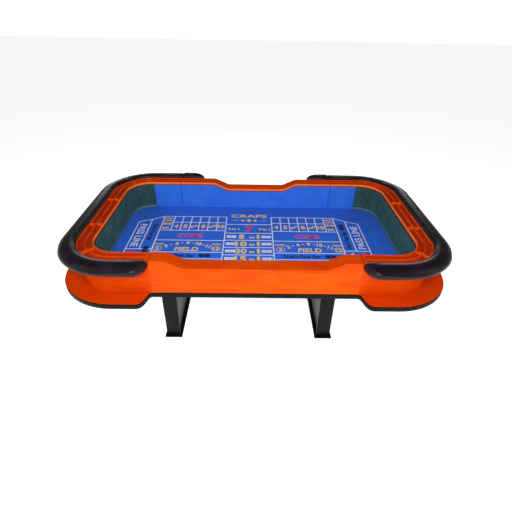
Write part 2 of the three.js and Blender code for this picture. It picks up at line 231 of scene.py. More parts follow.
def seam_shadow(shader):
    """1 on the thin dark line where an end section meets the centre section."""
    half_width = 0.0026
    x = shader.split(shader.place()).named("X")
    offset = x * x - SEAM_X * SEAM_X
    most = (2 * SEAM_X * half_width) ** 2
    return (offset * offset).ramp(most, most * 0.2)


def cherry(name, grain=True, rail=False, depth=0.0):
    """Stained cherry under thick gloss lacquer; depth is how far the colour turns to the deeper
    red.
    """
    shader = Shader(name)
    place = shader.place(grain)
    figure = shader.noise(shader.scaled(place, (2.2, 7, 7)), 1.0, 4, 0.6, 0.8)
    streaks = shader.noise(shader.scaled(place, (5, 95, 95)), 1.0, 5, 0.65, 0.4)
    pores = shader.noise(shader.scaled(place, (60, 900, 900)), 1.0, 2, 0.5)
    tone = 0.65 * figure.ramp(0.3, 0.72) + 0.35 * streaks.ramp(0.35, 0.7)
    stained = shader.mix(tone, colours().cherry_dark, colours().cherry_light)
    open_pores = pores.ramp(0.62, 0.72) * 0.35
    wood = shader.mix(open_pores, stained, colours().cherry_pore)
    if depth:
        wood = shader.mix(depth, wood, colours().cherry_deep)
    if rail:
        wood = rail_shades(shader, place, wood)
    shader.set(
        base_color=wood,
        roughness=0.2 + 0.1 * streaks,
        coat_weight=0.3,
        coat_roughness=0.05,
        coat_ior=1.27,
        specular_ior_level=0.0,
    )
    shader.bump(figure * 0.8 + streaks * 0.2, 0.08, 0.0005)
    return shader


def rail_shades(shader, place, wood):
    """Painted shade down in the grooves, a painted highlight on the upper part of the inner lip
    with painted shadow below it, and dark seams.
    """
    parts = shader.split(place)
    reach, height = parts.named("Y"), parts.named("Z")
    # Painted shade down in the grooves, away from the rail's edges.
    inside = reach.ramp(0.004, 0.007) * reach.ramp(RAIL_WIDTH - 0.006, RAIL_WIDTH - 0.01)
    hollow_shade = height.ramp(RAIL_TOP - 0.0005, RAIL_TOP - 0.009) * inside
    wood = shader.mix(hollow_shade * 0.72, wood, colours().cherry_hollow)
    # The inner lip: painted highlight on its upper part, painted shadow on its lower part.
    lip = reach.ramp(0.0045, 0.001)
    lit = height.ramp(RAIL_TOP - 0.016, RAIL_TOP - 0.013)
    wood = shader.mix(lip * (1 - lit) * 0.6, wood, colours().cherry_hollow)
    wood = shader.mix(lip * lit * 0.85, wood, colours().cherry_lip)
    return shader.mix(seam_shadow(shader) * 0.8, wood, colours().cherry_pore)


def cherry_shelf(name):
    """Cherry with the black edging brought up over its edge."""
    shader = cherry(name, grain=False, depth=0.7)
    height = shader.split(shader.place()).named("Z")
    wood = Socket(shader, shader.principled.inputs["Base Color"].links[0].from_socket)
    edge = height.ramp(SHELF_TOP - 0.0009, SHELF_TOP - 0.0013)
    shader.set(base_color=shader.mix(edge, wood, colours().edging))
    return shader


def vinyl(name):
    """Black upholstery vinyl with a fine leather grain."""
    shader = Shader(name)
    place = shader.place()
    pebble = shader.cells(place, 620).ramp(0.1, 0.75)
    creases = shader.cells(place, 210, "DISTANCE_TO_EDGE").ramp(0.0, 0.12)
    wear = shader.noise(place, 9, 4)
    shader.set(
        base_color=shader.mix(wear.ramp(0.4, 0.75), colours().vinyl, colours().vinyl_worn),
        roughness=0.3 + 0.14 * wear + 0.05 * pebble,
        specular_ior_level=0.21,
    )
    shader.bump(pebble * 0.5 + creases * 0.5, 0.22, 0.0005)
    return shader


def felt(name):
    """Short wool felt: a cloudy nap with loose fibres, and dark seams on the walls."""
    shader = Shader(name)
    base, shade = getattr(colours(), name), getattr(colours(), f"{name}_shade")
    place = shader.place()
    cloud = shader.noise(place, 14, 3)
    nap = shader.noise(place, 900, 4, 0.7)
    fibres = shader.noise(shader.scaled(place, (260, 1500, 900)), 1.0, 3, 0.6, 1.5)
    tone = cloud.ramp(0.3, 0.7) * 0.35 + nap.ramp(0.3, 0.7) * 0.4 + fibres.ramp(0.4, 0.7) * 0.25
    cloth = shader.mix(tone, shade, base)
    if name == "wall_felt":
        cloth = shader.mix(seam_shadow(shader) * 0.75, cloth, colours().ink_dark)
    shader.set(
        base_color=cloth,
        roughness=0.9 + 0.08 * nap,
        specular_ior_level=0.08,
        sheen_weight=0.04,
        sheen_roughness=0.5,
    )
    shader.bump(nap * 0.6 + fibres * 0.4, 0.35, 0.0006)
    return shader


def ink(name):
    """Ink printed into the nap, a little thin where the nap is high."""
    shader = Shader(name)
    colour = getattr(colours(), name)
    place = shader.place()
    nap = shader.noise(place, 700, 3, 0.7)
    faded = [0.82 * c + 0.18 * b for c, b in zip(colour, colours().layout_felt)]
    shader.set(
        base_color=shader.mix(nap.ramp(0.5, 0.8) * 0.6, colour, faded),
        roughness=0.75 + 0.15 * nap,
        specular_ior_level=0.2,
    )
    shader.bump(nap, 0.25, 0.0004)
    return shader


def rubber(name):
    """Moulded green rubber: painted shade between the pyramids, rubbed on their tips, and lighter
    along the lip.
    """
    shader = Shader(name)
    place = shader.place(grain=True)
    parts = shader.split(place)
    reach, height = parts.named("Y"), parts.named("Z")
    tips = reach.ramp(-0.0045, -0.0115)
    lip = height.ramp(BUMPER_LOW + 0.024, BUMPER_LOW + 0.014)
    cloud = shader.noise(place, 11, 4)
    skin = shader.noise(place, 420, 3)
    # Painted shade in the hollows between the pyramids.
    hollow_shade = shader.mix(tips, colours().rubber_hollow, colours().rubber)
    rubbed = shader.mix(cloud.ramp(0.35, 0.75) * tips * 0.7, hollow_shade, colours().rubber_dusty)
    shader.set(
        base_color=shader.mix(lip * 0.6, rubbed, colours().rubber_dusty),
        roughness=0.5 + 0.2 * skin,
        specular_ior_level=0.35,
    )
    shader.bump(skin, 0.15, 0.0004)
    return shader


def black_edge(name):
    """Satin black edging."""
    shader = Shader(name)
    place = shader.place()
    skin = shader.noise(place, 160, 3)
    scuffs = shader.noise(shader.scaled(place, (14, 14, 160)), 1.0, 4, 0.6)
    shader.set(
        base_color=shader.mix(scuffs.ramp(0.55, 0.8), colours().edging, colours().edging_worn),
        roughness=0.36 + 0.2 * skin,
        specular_ior_level=0.12,
    )
    shader.bump(skin, 0.08, 0.0005)
    return shader


def painted(name):
    """Satin paint with a slight orange peel."""
    shader = Shader(name)
    base, worn = getattr(colours(), name), getattr(colours(), f"{name}_worn")
    place = shader.place()
    peel = shader.noise(place, 330, 2, 0.4)
    marks = shader.noise(place, 7, 5, 0.6)
    shader.set(
        base_color=shader.mix(marks.ramp(0.5, 0.8), base, worn),
        roughness=0.34 + 0.22 * marks,
        specular_ior_level=0.12,
    )
    shader.bump(peel, 0.12, 0.0005)
    return shader


def plywood(name):
    """Bare birch plywood, with its plies on the edges."""
    shader = Shader(name)
    place = shader.place()
    streaks = shader.noise(shader.scaled(place, (3, 60, 60)), 1.0, 5, 0.6, 0.3)
    plies = shader.noise(shader.scaled(place, (0.5, 0.5, 620)), 1.0, 1)
    tone = streaks * 0.6 + plies.ramp(0.4, 0.6) * 0.4
    shader.set(
        base_color=shader.mix(tone, colours().plywood_dark, colours().plywood),
        roughness=0.7 + 0.1 * streaks,
    )
    shader.bump(streaks, 0.1, 0.0005)
    return shader


def moulded(name):
    """Moulded black plastic."""
    shader = Shader(name)
    place = shader.place()
    skin = shader.noise(place, 500, 2)
    shader.set(
        base_color=shader.mix(skin, colours().pedestal_black, colours().edging_worn),
        roughness=0.4 + 0.15 * skin,
    )
    shader.bump(skin, 0.1, 0.0003)
    return shader


FINISHES = {
    "cherry": cherry,
    "cherry_rail": lambda name: cherry(name, rail=True, depth=0.4),
    "cherry_flat": lambda name: cherry(name, grain=False),
    "cherry_end": lambda name: cherry(name, depth=0.55),
    "cherry_shelf": cherry_shelf,
    "vinyl": vinyl,
    "wall_felt": felt,
    "layout_felt": felt,
    "ink_white": ink,
    "ink_gold": ink,
    "ink_red": ink,
    "ink_dark": ink,
    "rubber": rubber,
    "black_edge": black_edge,
    "pedestal_black": painted,
    "pedestal_grey": painted,
    "plywood": plywood,
    "moulded": moulded,
}


def refinish(obj, name):
    obj.data.materials.clear()
    obj.data.materials.append(material(name))


# Meshes ---------------------------------------------------------------------------------------


class Form:
    """Points, faces and grain of a piece that is being made."""

    def __init__(self, points=(), faces=(), grain=None):
        self.points = np.array(points, float).reshape(-1, 3)
        self.faces = [tuple(f) for f in faces]
        self.grain = self.points.copy() if grain is None else np.array(grain, float)

    def add(self, other):
        offset = len(self.points)
        self.points = np.vstack([self.points, other.points])
        self.grain = np.vstack([self.grain, other.grain])
        self.faces += [tuple(i + offset for i in f) for f in other.faces]
        return self

    def mirrored(self):
        flipped = self.points * (-1, 1, 1)
        return Form(flipped, [f[::-1] for f in self.faces], self.grain + (3.7, 0, 0))

    def turned(self, matrix):
        rotation = np.array(matrix.to_3x3())
        moved = self.points @ rotation.T + np.array(matrix.translation)
        return Form(moved, self.faces, self.grain)


def add_object(name, form, finish, crease=38):
    mesh = bpy.data.meshes.new(name)
    mesh.from_pydata(form.points.tolist(), [], form.faces)
    attribute = mesh.attributes.new("grain", "FLOAT_VECTOR", "POINT")
    attribute.data.foreach_set("vector", form.grain.astype(np.float32).ravel())
    mesh.polygons.foreach_set("use_smooth", [True] * len(mesh.polygons))
    mesh.set_sharp_from_angle(angle=math.radians(crease))
    mesh.materials.append(material(finish))
    obj = bpy.data.objects.new(name, mesh)
    bpy.context.scene.collection.objects.link(obj)
    return obj


def settle(obj, body, slot, *nodes):
    """The piece rides on its body and stands for its nodes; its slot is not used."""
    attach(obj, body)
    if nodes:
        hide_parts(*nodes)
    return obj


def add_side(side, form, piece, finish, slot, node, body=None, crease=38):
    """Makes one end's piece from the form of the right-hand one. {} stands for the side."""
    shape = form if SIDES[side] > 0 else form.mirrored()
    obj = add_object(piece.format(side), shape, finish, crease)
    return settle(obj, BODIES[body or side], slot, node.format(side))


def add_pair(*details, **more):
    for side in SIDES:
        add_side(side, *details, **more)


def corner_arc(x, y, radius, start, end, steps):
    angles = np.linspace(start, end, steps + 1)
    return np.column_stack([x + radius * np.cos(angles), y + radius * np.sin(angles)])


class Run:
    """Stations along the line of the inner face, with the direction out of the tray at each."""

    def __init__(self, points, outs):
        self.points = np.array(points, float)
        self.outs = np.array(outs, float)
        middle = self.points + self.outs * (RAIL_WIDTH / 2)
        steps = np.linalg.norm(np.diff(middle, axis=0), axis=1)
        self.along = np.concatenate([[0], np.cumsum(steps)])
        self.fullness = np.ones(len(self.points))
        self.drop = np.zeros(len(self.points))

    def __len__(self):
        return len(self.points)


def straight_run(side, xs):
    """Along a long side. The back runs towards +X and the front towards -X."""
    xs = sorted(xs, reverse=side < 0)
    return Run([(x, side * INNER_Y) for x in xs], [(0, side)] * len(xs))


def end_run(back_xs, front_xs, corner_steps=26):
    """Round the right-hand end, from the back to the front."""
    radius = settings().corner_radius
    x, y = INNER_X - radius, INNER_Y - radius
    points = [(v, INNER_Y) for v in sorted(back_xs)]
    outs = [(0.0, 1.0)] * len(points)
    for side, start, end in ((1, math.pi / 2, 0.0), (-1, 0.0, -math.pi / 2)):
        arc = corner_arc(x, side * y, radius, start, end, corner_steps)
        outs += [tuple(p) for p in (arc - (x, side * y)) / radius]
        points += [tuple(p) for p in arc]
        if side > 0:
            points += [(INNER_X, y * part) for part in (0.5, 0.0, -0.5)]
            outs += [(1.0, 0.0)] * 3
    fronts = sorted(front_xs, reverse=True)
    points += [(v, -INNER_Y) for v in fronts]
    outs += [(0.0, -1.0)] * len(fronts)
    return Run(points, outs)


def ring_faces(rings, count):
    """The faces between rings of points that follow each other, and the two end faces."""
    faces = []
    for start in range(0, (rings - 1) * count, count):
        after = start + count
        for j in range(count):
            k = (j + 1) % count
            faces.append((start + j, start + k, after + k, after + j))
    last = (rings - 1) * count
    return faces + [tuple(range(count))[::-1], tuple(last + j for j in range(count))]


def sweep(profile, run, adjust=None):
    """Sweeps a closed profile of (reach, height) points along a run, with flat ends."""
    profile = np.array(profile, float)
    rows, columns = len(run), len(profile)
    points = np.zeros((rows, columns, 3))
    grain = np.zeros((rows, columns, 3))
    for i in range(rows):
        reach, height = profile[:, 0].copy(), profile[:, 1].copy()
        if adjust:
            reach, height = adjust(reach, height, run.fullness[i])
        points[i, :, :2] = run.points[i] + np.outer(reach, run.outs[i])
        points[i, :, 2] = height - run.drop[i]
        grain[i] = np.column_stack([np.full(columns, run.along[i]), reach, height])
    form = Form(points.reshape(-1, 3), ring_faces(rows, columns), grain.reshape(-1, 3))
    if signed_area(profile) > 0:
        form.faces = [f[::-1] for f in form.faces]
    return form


def signed_area(outline):
    x, y = np.array(outline, float).T
    return 0.5 * float(np.sum(x * np.roll(y, -1) - np.roll(x, -1) * y))


def rounded(corners, radius, steps=4):
    """A polygon with its corners rounded. radius is one number, or one for each corner."""
    radii = [radius] * len(corners) if np.isscalar(radius) else radius
    outline = []
    for i, corner in enumerate(corners):
        here = Vector(corner)
        before, after = Vector(corners[i - 1]), Vector(corners[(i + 1) % len(corners)])
        if radii[i] <= 0:
            outline.append(tuple(here))
            continue
        back, on = (before - here).normalized(), (after - here).normalized()
        for t in np.linspace(0, 1, steps + 1):
            start, end = here + back * radii[i], here + on * radii[i]
            point = start * (1 - t) ** 2 + here * (2 * t * (1 - t)) + end * t**2
            outline.append(tuple(point))
    return outline


def slab(outline, bottom, top, edge=0.003, steps=4):
    """A board seen from above, with its upper and lower edges rounded."""
    outline = np.array(outline, float)
    if signed_area(outline) < 0:
        outline = outline[::-1]
    before, after = np.roll(outline, 1, axis=0), np.roll(outline, -1, axis=0)
    a, b = outline - before, after - outline
    a /= np.linalg.norm(a, axis=1)[:, None]
    b /= np.linalg.norm(b, axis=1)[:, None]
    normal = np.column_stack([a[:, 1] + b[:, 1], -a[:, 0] - b[:, 0]])
    normal /= np.maximum(np.linalg.norm(normal, axis=1), 1e-9)[:, None]
    spread = 1 / np.clip(np.sum(normal * np.column_stack([a[:, 1], -a[:, 0]]), axis=1), 0.6, 1)
    normal *= spread[:, None]
    angles = np.linspace(0, math.pi / 2, steps + 1)
    rings = [(edge * (1 - math.sin(t)), bottom + edge * (1 - math.cos(t))) for t in angles]
    rings += [(edge * (1 - math.cos(t)), top - edge * (1 - math.sin(t))) for t in angles]
    count = len(outline)
    points = [np.column_stack([outline - normal * inset, np.full(count, z)]) for inset, z in rings]
    return Form(np.vstack(points), ring_faces(len(rings), count))


def soft_box(corner_low, corner_high, edge=0.002):
    """A board or plate with every edge rounded."""
    (x0, y0, z0), (x1, y1, z1) = corner_low, corner_high
    outline = rounded([(x0, y0), (x1, y0), (x1, y1), (x0, y1)], edge, 3)
    return slab(outline, z0, z1, edge, 3)


def cubic(controls, steps, endpoint=True):
    """Points along a cubic curve with four control points."""
    a, b, c, d = map(np.array, controls)
    points = []
    for t in np.linspace(0, 1, steps + 1)[: None if endpoint else -1]:
        u = 1 - t
        points.append(tuple(a * u**3 + b * (3 * u * u * t) + c * (3 * u * t * t) + d * t**3))
    return points


def curve_out(start, end, flat, full, steps=18):
    """The S of a shelf's edge, from flush to full width."""
    length = end - start
    leaving, arriving = (start + length * 0.42, flat), (start + length * 0.18, full)
    return cubic([(start, flat), leaving, arriving, (end, full)], steps)


def end_arcs(reach, reverse=False, steps=30):
    """The two rounded corners of the right-hand end, from the front to the back."""
    radius = settings().corner_radius
    x, y = INNER_X - radius, INNER_Y - radius
    front = corner_arc(x, -y, radius + reach, -math.pi / 2, 0, steps)
    back = corner_arc(x, y, radius + reach, 0, math.pi / 2, steps)
    arcs = [tuple(p) for p in np.vstack([front, back])]
    return arcs[::-1] if reverse else arcs


# Rails ----------------------------------------------------------------------------------------


def rail_profile(grooved, edge=0.005):
    """A rail's section: soft top edges, and two round chip grooves where it has them."""
    s = settings()
    reach = np.linspace(edge, RAIL_WIDTH - edge, 96)
    depth = np.zeros_like(reach)
    if grooved:
        for centre in (s.groove_inner, s.groove_outer):
            round_part = np.sqrt(np.maximum(s.groove_radius**2 - (reach - centre) ** 2, 0))
            cut = round_part - (s.groove_radius - s.groove_depth)
            softened = 0.5 * (cut + np.sqrt(cut**2 + s.groove_lip**2)) - 0.0002
            depth = np.maximum(depth, softened * (cut > -0.002))
    top = np.column_stack([reach, RAIL_TOP - depth])
    angles = np.linspace(0, math.pi / 2, 6)[:-1]
    inner = [(edge * (1 - math.cos(t)), RAIL_TOP - edge * (1 - math.sin(t))) for t in angles]
    outer = [(RAIL_WIDTH - r, z) for r, z in inner][::-1]
    bottom = RAIL_TOP - RAIL_THICKNESS
    return [(0, bottom), *inner, *map(tuple, top), *outer, (RAIL_WIDTH, bottom)]


def level_grooves(reach, height, fullness):
    """Fills the grooves in, where fullness is 0."""
    inside = (reach > 0.007) & (reach < RAIL_WIDTH - 0.003) & (height > RAIL_TOP - 0.02)
    return reach, np.where(inside, RAIL_TOP - (RAIL_TOP - height) * fullness, height)


class CRAPS_OT_chip_rails(Operator):
    """Makes the two grooved chip rails round the ends"""

    bl_idname = "craps.chip_rails"
    bl_label = "Chip Rails"

    def execute(self, context):
        stop = settings().front_groove_end
        fronts = [0.78, 0.72, 0.68, stop + 0.004, stop + 0.0025, stop + 0.001, stop, SEAM_X + 0.01]
        run = end_run([SEAM_START, 0.68, 0.76], [*fronts, SEAM_START])
        front = run.outs[:, 1] < -0.99
        distance = np.where(front, run.points[:, 0] - stop, 1.0)
        run.fullness = np.sqrt(np.clip(distance / 0.004, 0, 1))
        form = sweep(rail_profile(True), run, level_grooves)
        names = ("{}_rail_with_grooves", "cherry_rail", "cherry_wood", "{}_chip_rail")
        add_pair(form, *names, crease=30)
        return {"FINISHED"}


def notch_drop(x, low_x, high_x):
    """A straight slope with eased corners."""
    ease = 0.012
    inside = np.abs(x)

    def bend(corner):
        """A ramp that starts at the corner, eased into over a short length."""
        distance = corner - inside
        eased = (distance + ease) ** 2 / (4 * ease)
        return np.where(distance < -ease, 0, np.where(distance > ease, distance, eased))

    return settings().notch_drop * (bend(high_x) - bend(low_x)) / (high_x - low_x)


class CRAPS_OT_centre_rails(Operator):
    """Makes the two long rails of the centre section, lowered in the middle"""

    bl_idname = "craps.centre_rails"
    bl_label = "Centre Rails"

    def execute(self, context):
        s = settings()
        self.make("front", -1, s.front_notch_low, s.front_notch_high, None)
        self.make("back", 1, s.back_notch_low, s.back_notch_high, s.back_groove_end)
        return {"FINISHED"}

    def make(self, name, side, low_x, high_x, groove_end):
        slope = np.linspace(low_x - 0.014, high_x + 0.014, 44)
        ends = [SEAM_X, SEAM_X - 0.004]
        if groove_end:
            ends += [groove_end + step for step in (-0.0015, 0.0, 0.001, 0.0025, 0.005)]
        xs = np.concatenate([-slope, slope, ends, [-x for x in ends], [0.0]])
        run = straight_run(side, xs)
        x = run.points[:, 0]
        run.drop = notch_drop(x, low_x, high_x)
        if groove_end:
            run.fullness = np.sqrt(np.clip((np.abs(x) - groove_end) / 0.005, 0, 1))
        form = sweep(rail_profile(bool(groove_end)), run, level_grooves)
        rail = add_object(f"{name}_rail_finished", form, "cherry_rail", 30)
        settle(rail, BODIES["centre"], "cherry_wood", f"{name}_rail")


class CRAPS_OT_chip_dividers(Operator):
    """Makes the dividers that cross the chip grooves"""

    bl_idname = "craps.chip_dividers"
    bl_label = "Chip Dividers"

    def execute(self, context):
        s = settings()
        radius = s.corner_radius
        x, y = INNER_X - radius, INNER_Y - radius
        slant = math.sqrt(0.5)
        places = [
            ((x + radius * slant, y + radius * slant), (slant, slant)),
            ((INNER_X, s.divider_y), (1, 0)),
            ((INNER_X, -s.divider_y), (1, 0)),
            ((x + radius * slant, -y - radius * slant), (slant, -slant)),
        ]
        for number, (point, out) in enumerate(places, 1):
            point, out = np.array(point), np.array(out, float)
            tangent = np.array([out[1], -out[0]])
            half = s.divider_thickness / 2
            steps = half * np.array([-1, -0.8, 0, 0.8, 1])
            run = Run([point + tangent * step for step in steps], [out] * len(steps))
            run.fullness = np.array([0.86, 0.97, 1.0, 0.97, 0.86])
            form = Form()
            for groove in (s.groove_inner, s.groove_outer):
                form.add(sweep(self.profile(groove), run, self.round_over))
            piece, node = f"{{}}_groove_divider_{number}", f"{{}}_chip_divider_{number}"
            add_pair(form, piece, "cherry", "cherry_wood", node, crease=50)
        return {"FINISHED"}

    def round_over(self, reach, height, fullness):
        middle = RAIL_TOP - 0.012
        return reach, middle + (height - middle) * fullness

    def profile(self, groove):
        """A half-moon that fills one groove, with a crown a little above the rail."""
        s = settings()
        radius = s.groove_radius - 0.0006
        centre = RAIL_TOP - s.groove_depth + s.groove_radius
        half = math.asin((centre - RAIL_TOP) / radius)
        angles = np.linspace(math.pi + half, 2 * math.pi - half, 18)
        bowl = [(groove + radius * math.cos(a), centre + radius * math.sin(a)) for a in angles]
        width = bowl[-1][0] - groove
        crown = [
            (groove + width * t, RAIL_TOP + 0.0036 * (1 - t * t) ** 0.5)
            for t in np.linspace(0.96, -0.96, 9)
        ]
        return bowl + crown


# Aprons, shelves and platforms ----------------------------------------------------------------


class CRAPS_OT_aprons(Operator):
    """Makes the wooden aprons round the table"""

    bl_idname = "craps.aprons"
    bl_label = "Aprons"

    def execute(self, context):
        inner, outer = APRON_INNER, APRON_OUTER
        bottom, top = APRON_LOW, RAIL_TOP - RAIL_THICKNESS - TOUCH_GAP
        corners = [(inner, bottom), (outer, bottom), (outer, top), (inner, top)]
        run = end_run([SEAM_START, 0.72], [0.72, SEAM_START])
        form = sweep(rounded(corners, 0.0012, 3), run)
        add_pair(form, "{}_apron_veneered", "cherry_end", "cherry_wood", "{}_apron")
        for name in ("front", "back"):
            refinish(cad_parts[f"{name}_apron"], "cherry_flat")
        return {"FINISHED"}


class CRAPS_OT_drink_shelves(Operator):
    """Makes the wooden drink shelves under the armrests"""

    bl_idname = "craps.drink_shelves"
    bl_label = "Drink Shelves"

    def execute(self, context):
        full = INNER_Y + SHELF_REACH
        inner_reach = APRON_OUTER + TOUCH_GAP
        inner = INNER_Y + inner_reach
        start = low("right_drink_shelf").x + 0.004
        flush = INNER_Y + PLATFORM_FLUSH - 0.0005
        edge = curve_out(start, settings().shelf_curve_end, -flush, -full)
        outline = [*edge, *end_arcs(SHELF_REACH), (SEAM_START, full), (SEAM_START, inner)]
        outline += [*end_arcs(inner_reach, reverse=True), (start, -inner)]
        form = slab(outline, SHELF_LOW, SHELF_TOP, 0.0012, 3)
        back_low = low("back_right_drink_shelf").x
        curve = curve_out(back_low, settings().back_shelf_curve_end, flush, full)
        back = [(SEAM_X, inner), (SEAM_X, full), *curve[::-1], (back_low, inner)]
        short = slab(back, SHELF_LOW, SHELF_TOP, 0.0012, 3)
        looks = ("cherry_shelf", "cherry_wood")
        for side in SIDES:
            add_side(side, form, "{}_shelf_top", *looks, "{}_drink_shelf")
            add_side(side, short, "back_{}_shelf_top", *looks, "back_{}_drink_shelf", "centre")
        return {"FINISHED"}


class CRAPS_OT_platforms(Operator):
    """Makes the three black-edged platforms, and the strip at the foot of the front apron"""

    bl_idname = "craps.platforms"
    bl_label = "Platforms"

    def execute(self, context):
        s = settings()
        full = INNER_Y + PLATFORM_REACH
        flush = INNER_Y + PLATFORM_FLUSH
        edge = curve_out(SEAM_START, s.shelf_curve_end, -flush, -full)
        outline = [*edge, *end_arcs(PLATFORM_REACH), (SEAM_START, full)]
        form = slab(outline, PLATFORM_LOW, PLATFORM_TOP, 0.0025, 4)
        add_pair(form, "{}_platform_edged", "black_edge", "black_edge", "{}_platform")
        curve = curve_out(s.back_shelf_curve_start, s.back_shelf_curve_end, flush, full)
        right = [(-SEAM_X, -flush), (SEAM_X, -flush), (SEAM_X, full), *curve[::-1]]
        left = [(-x, y) for x, y in curve] + [(-SEAM_X, full)]
        form = slab([*right, *left], PLATFORM_LOW, PLATFORM_TOP, 0.0025, 4)
        board = add_object("centre_platform_edged", form, "black_edge")
        settle(board, BODIES["centre"], "black_edge", "centre_platform")
        near, far = -flush + 0.0002, -(INNER_Y + APRON_OUTER)
        outline = [(-SEAM_X, near), (SEAM_X, near), (SEAM_X, far), (-SEAM_X, far)]
        form = slab(outline, PLATFORM_TOP, PLATFORM_TOP + 0.006, 0.0005, 2)
        strip = add_object("front_base_strip", form, "black_edge")
        settle(strip, BODIES["centre"], "black_edge")
        return {"FINISHED"}


# Armrests -------------------------------------------------------------------------------------


def armrest_profile(rise=1.0):
    """The padded section, tucked in against the rail and flat underneath."""
    inner, outer = REST_INNER, REST_OUTER
    bottom, top = REST_LOW, RAIL_TOP + (REST_TOP - RAIL_TOP) * rise
    side = RAIL_TOP + 0.002
    rim, crest = (inner, side - 0.004), (inner + 0.038, top)
    shoulder, under = (outer, top - 0.043), (outer - 0.032, bottom)
    controls = [
        (rim, (inner + 0.001, side + 0.012), (inner + 0.014, top), crest),
        (crest, (inner + 0.074, top), (outer, top - 0.021), shoulder),
        (shoulder, (outer, bottom + 0.008), (outer - 0.012, bottom), under),
    ]
    outline = [point for four in controls for point in cubic(four, 12, endpoint=False)]
    outline += [under, (inner + 0.045, bottom), (inner + 0.02, bottom)]
    outline += [(inner, bottom + 0.003), (inner, bottom + 0.02)]
    return outline


def taper(reach, height, fullness):
    """The rounded end of an armrest."""
    middle = REST_LOW + 0.4 * (REST_TOP - REST_LOW)
    return (
        REST_INNER + (reach - REST_INNER) * fullness,
        middle + (height - middle) * (0.3 + 0.7 * fullness),
    )


def swell(obj, held, cap=0.004, pressure=3.0, frames=16):
    """Blows the cover out as its foam does, with the held points kept where they are."""
    group = obj.vertex_groups.new(name="held")
    group.add(held, 1.0, "REPLACE")
    cloth = obj.modifiers.new("swell", "CLOTH")
    cloth.settings.quality = 6
    cloth.settings.mass = 0.4
    cloth.settings.tension_stiffness = 12
    cloth.settings.compression_stiffness = 12
    cloth.settings.bending_stiffness = 2
    cloth.settings.use_pressure = True
    cloth.settings.uniform_pressure_force = pressure
    cloth.settings.effector_weights.gravity = 0
    cloth.settings.vertex_group_mass = "held"
    cloth.point_cache.frame_end = frames
    scene = bpy.context.scene
    for number in range(1, frames + 1):
        scene.frame_set(number)
    before = np.empty(len(obj.data.vertices) * 3)
    after = before.copy()
    obj.data.vertices.foreach_get("co", before)
    evaluated = obj.evaluated_get(bpy.context.evaluated_depsgraph_get())
    evaluated.data.vertices.foreach_get("co", after)
    moved = (after - before).reshape(-1, 3)
    size = np.maximum(np.linalg.norm(moved, axis=1), 1e-9)
    moved *= np.minimum(1, cap / size)[:, None]
    obj.modifiers.remove(cloth)
    obj.vertex_groups.remove(group)
    obj.data.vertices.foreach_set("co", (before.reshape(-1, 3) + moved).ravel())
    obj.data.update()
    scene.frame_set(1)


def pucker(form, run, ends):
    """Gathers the cover into small folds round each rounded end."""
    columns = len(form.points) // len(run)
    turn = np.arange(columns) / columns * 2 * math.pi
    points = form.points.reshape(len(run), columns, 3)
    middle = points.mean(axis=1, keepdims=True)
    for end_x in ends:
        near = np.clip(1 - np.abs(run.points[:, 0] - end_x) / 0.07, 0, 1)
        side = np.abs(run.outs[:, 1]) > 0.99
        amount = 0.018 * near * side * (run.points[:, 1] * ends[end_x] > 0)
        fold = 0.5 * (np.sin(17 * turn + 1.3) + np.sin(29 * turn))
        points += (points - middle) * (amount[:, None] * fold[None, :])[..., None]
    form.points = points.reshape(-1, 3)


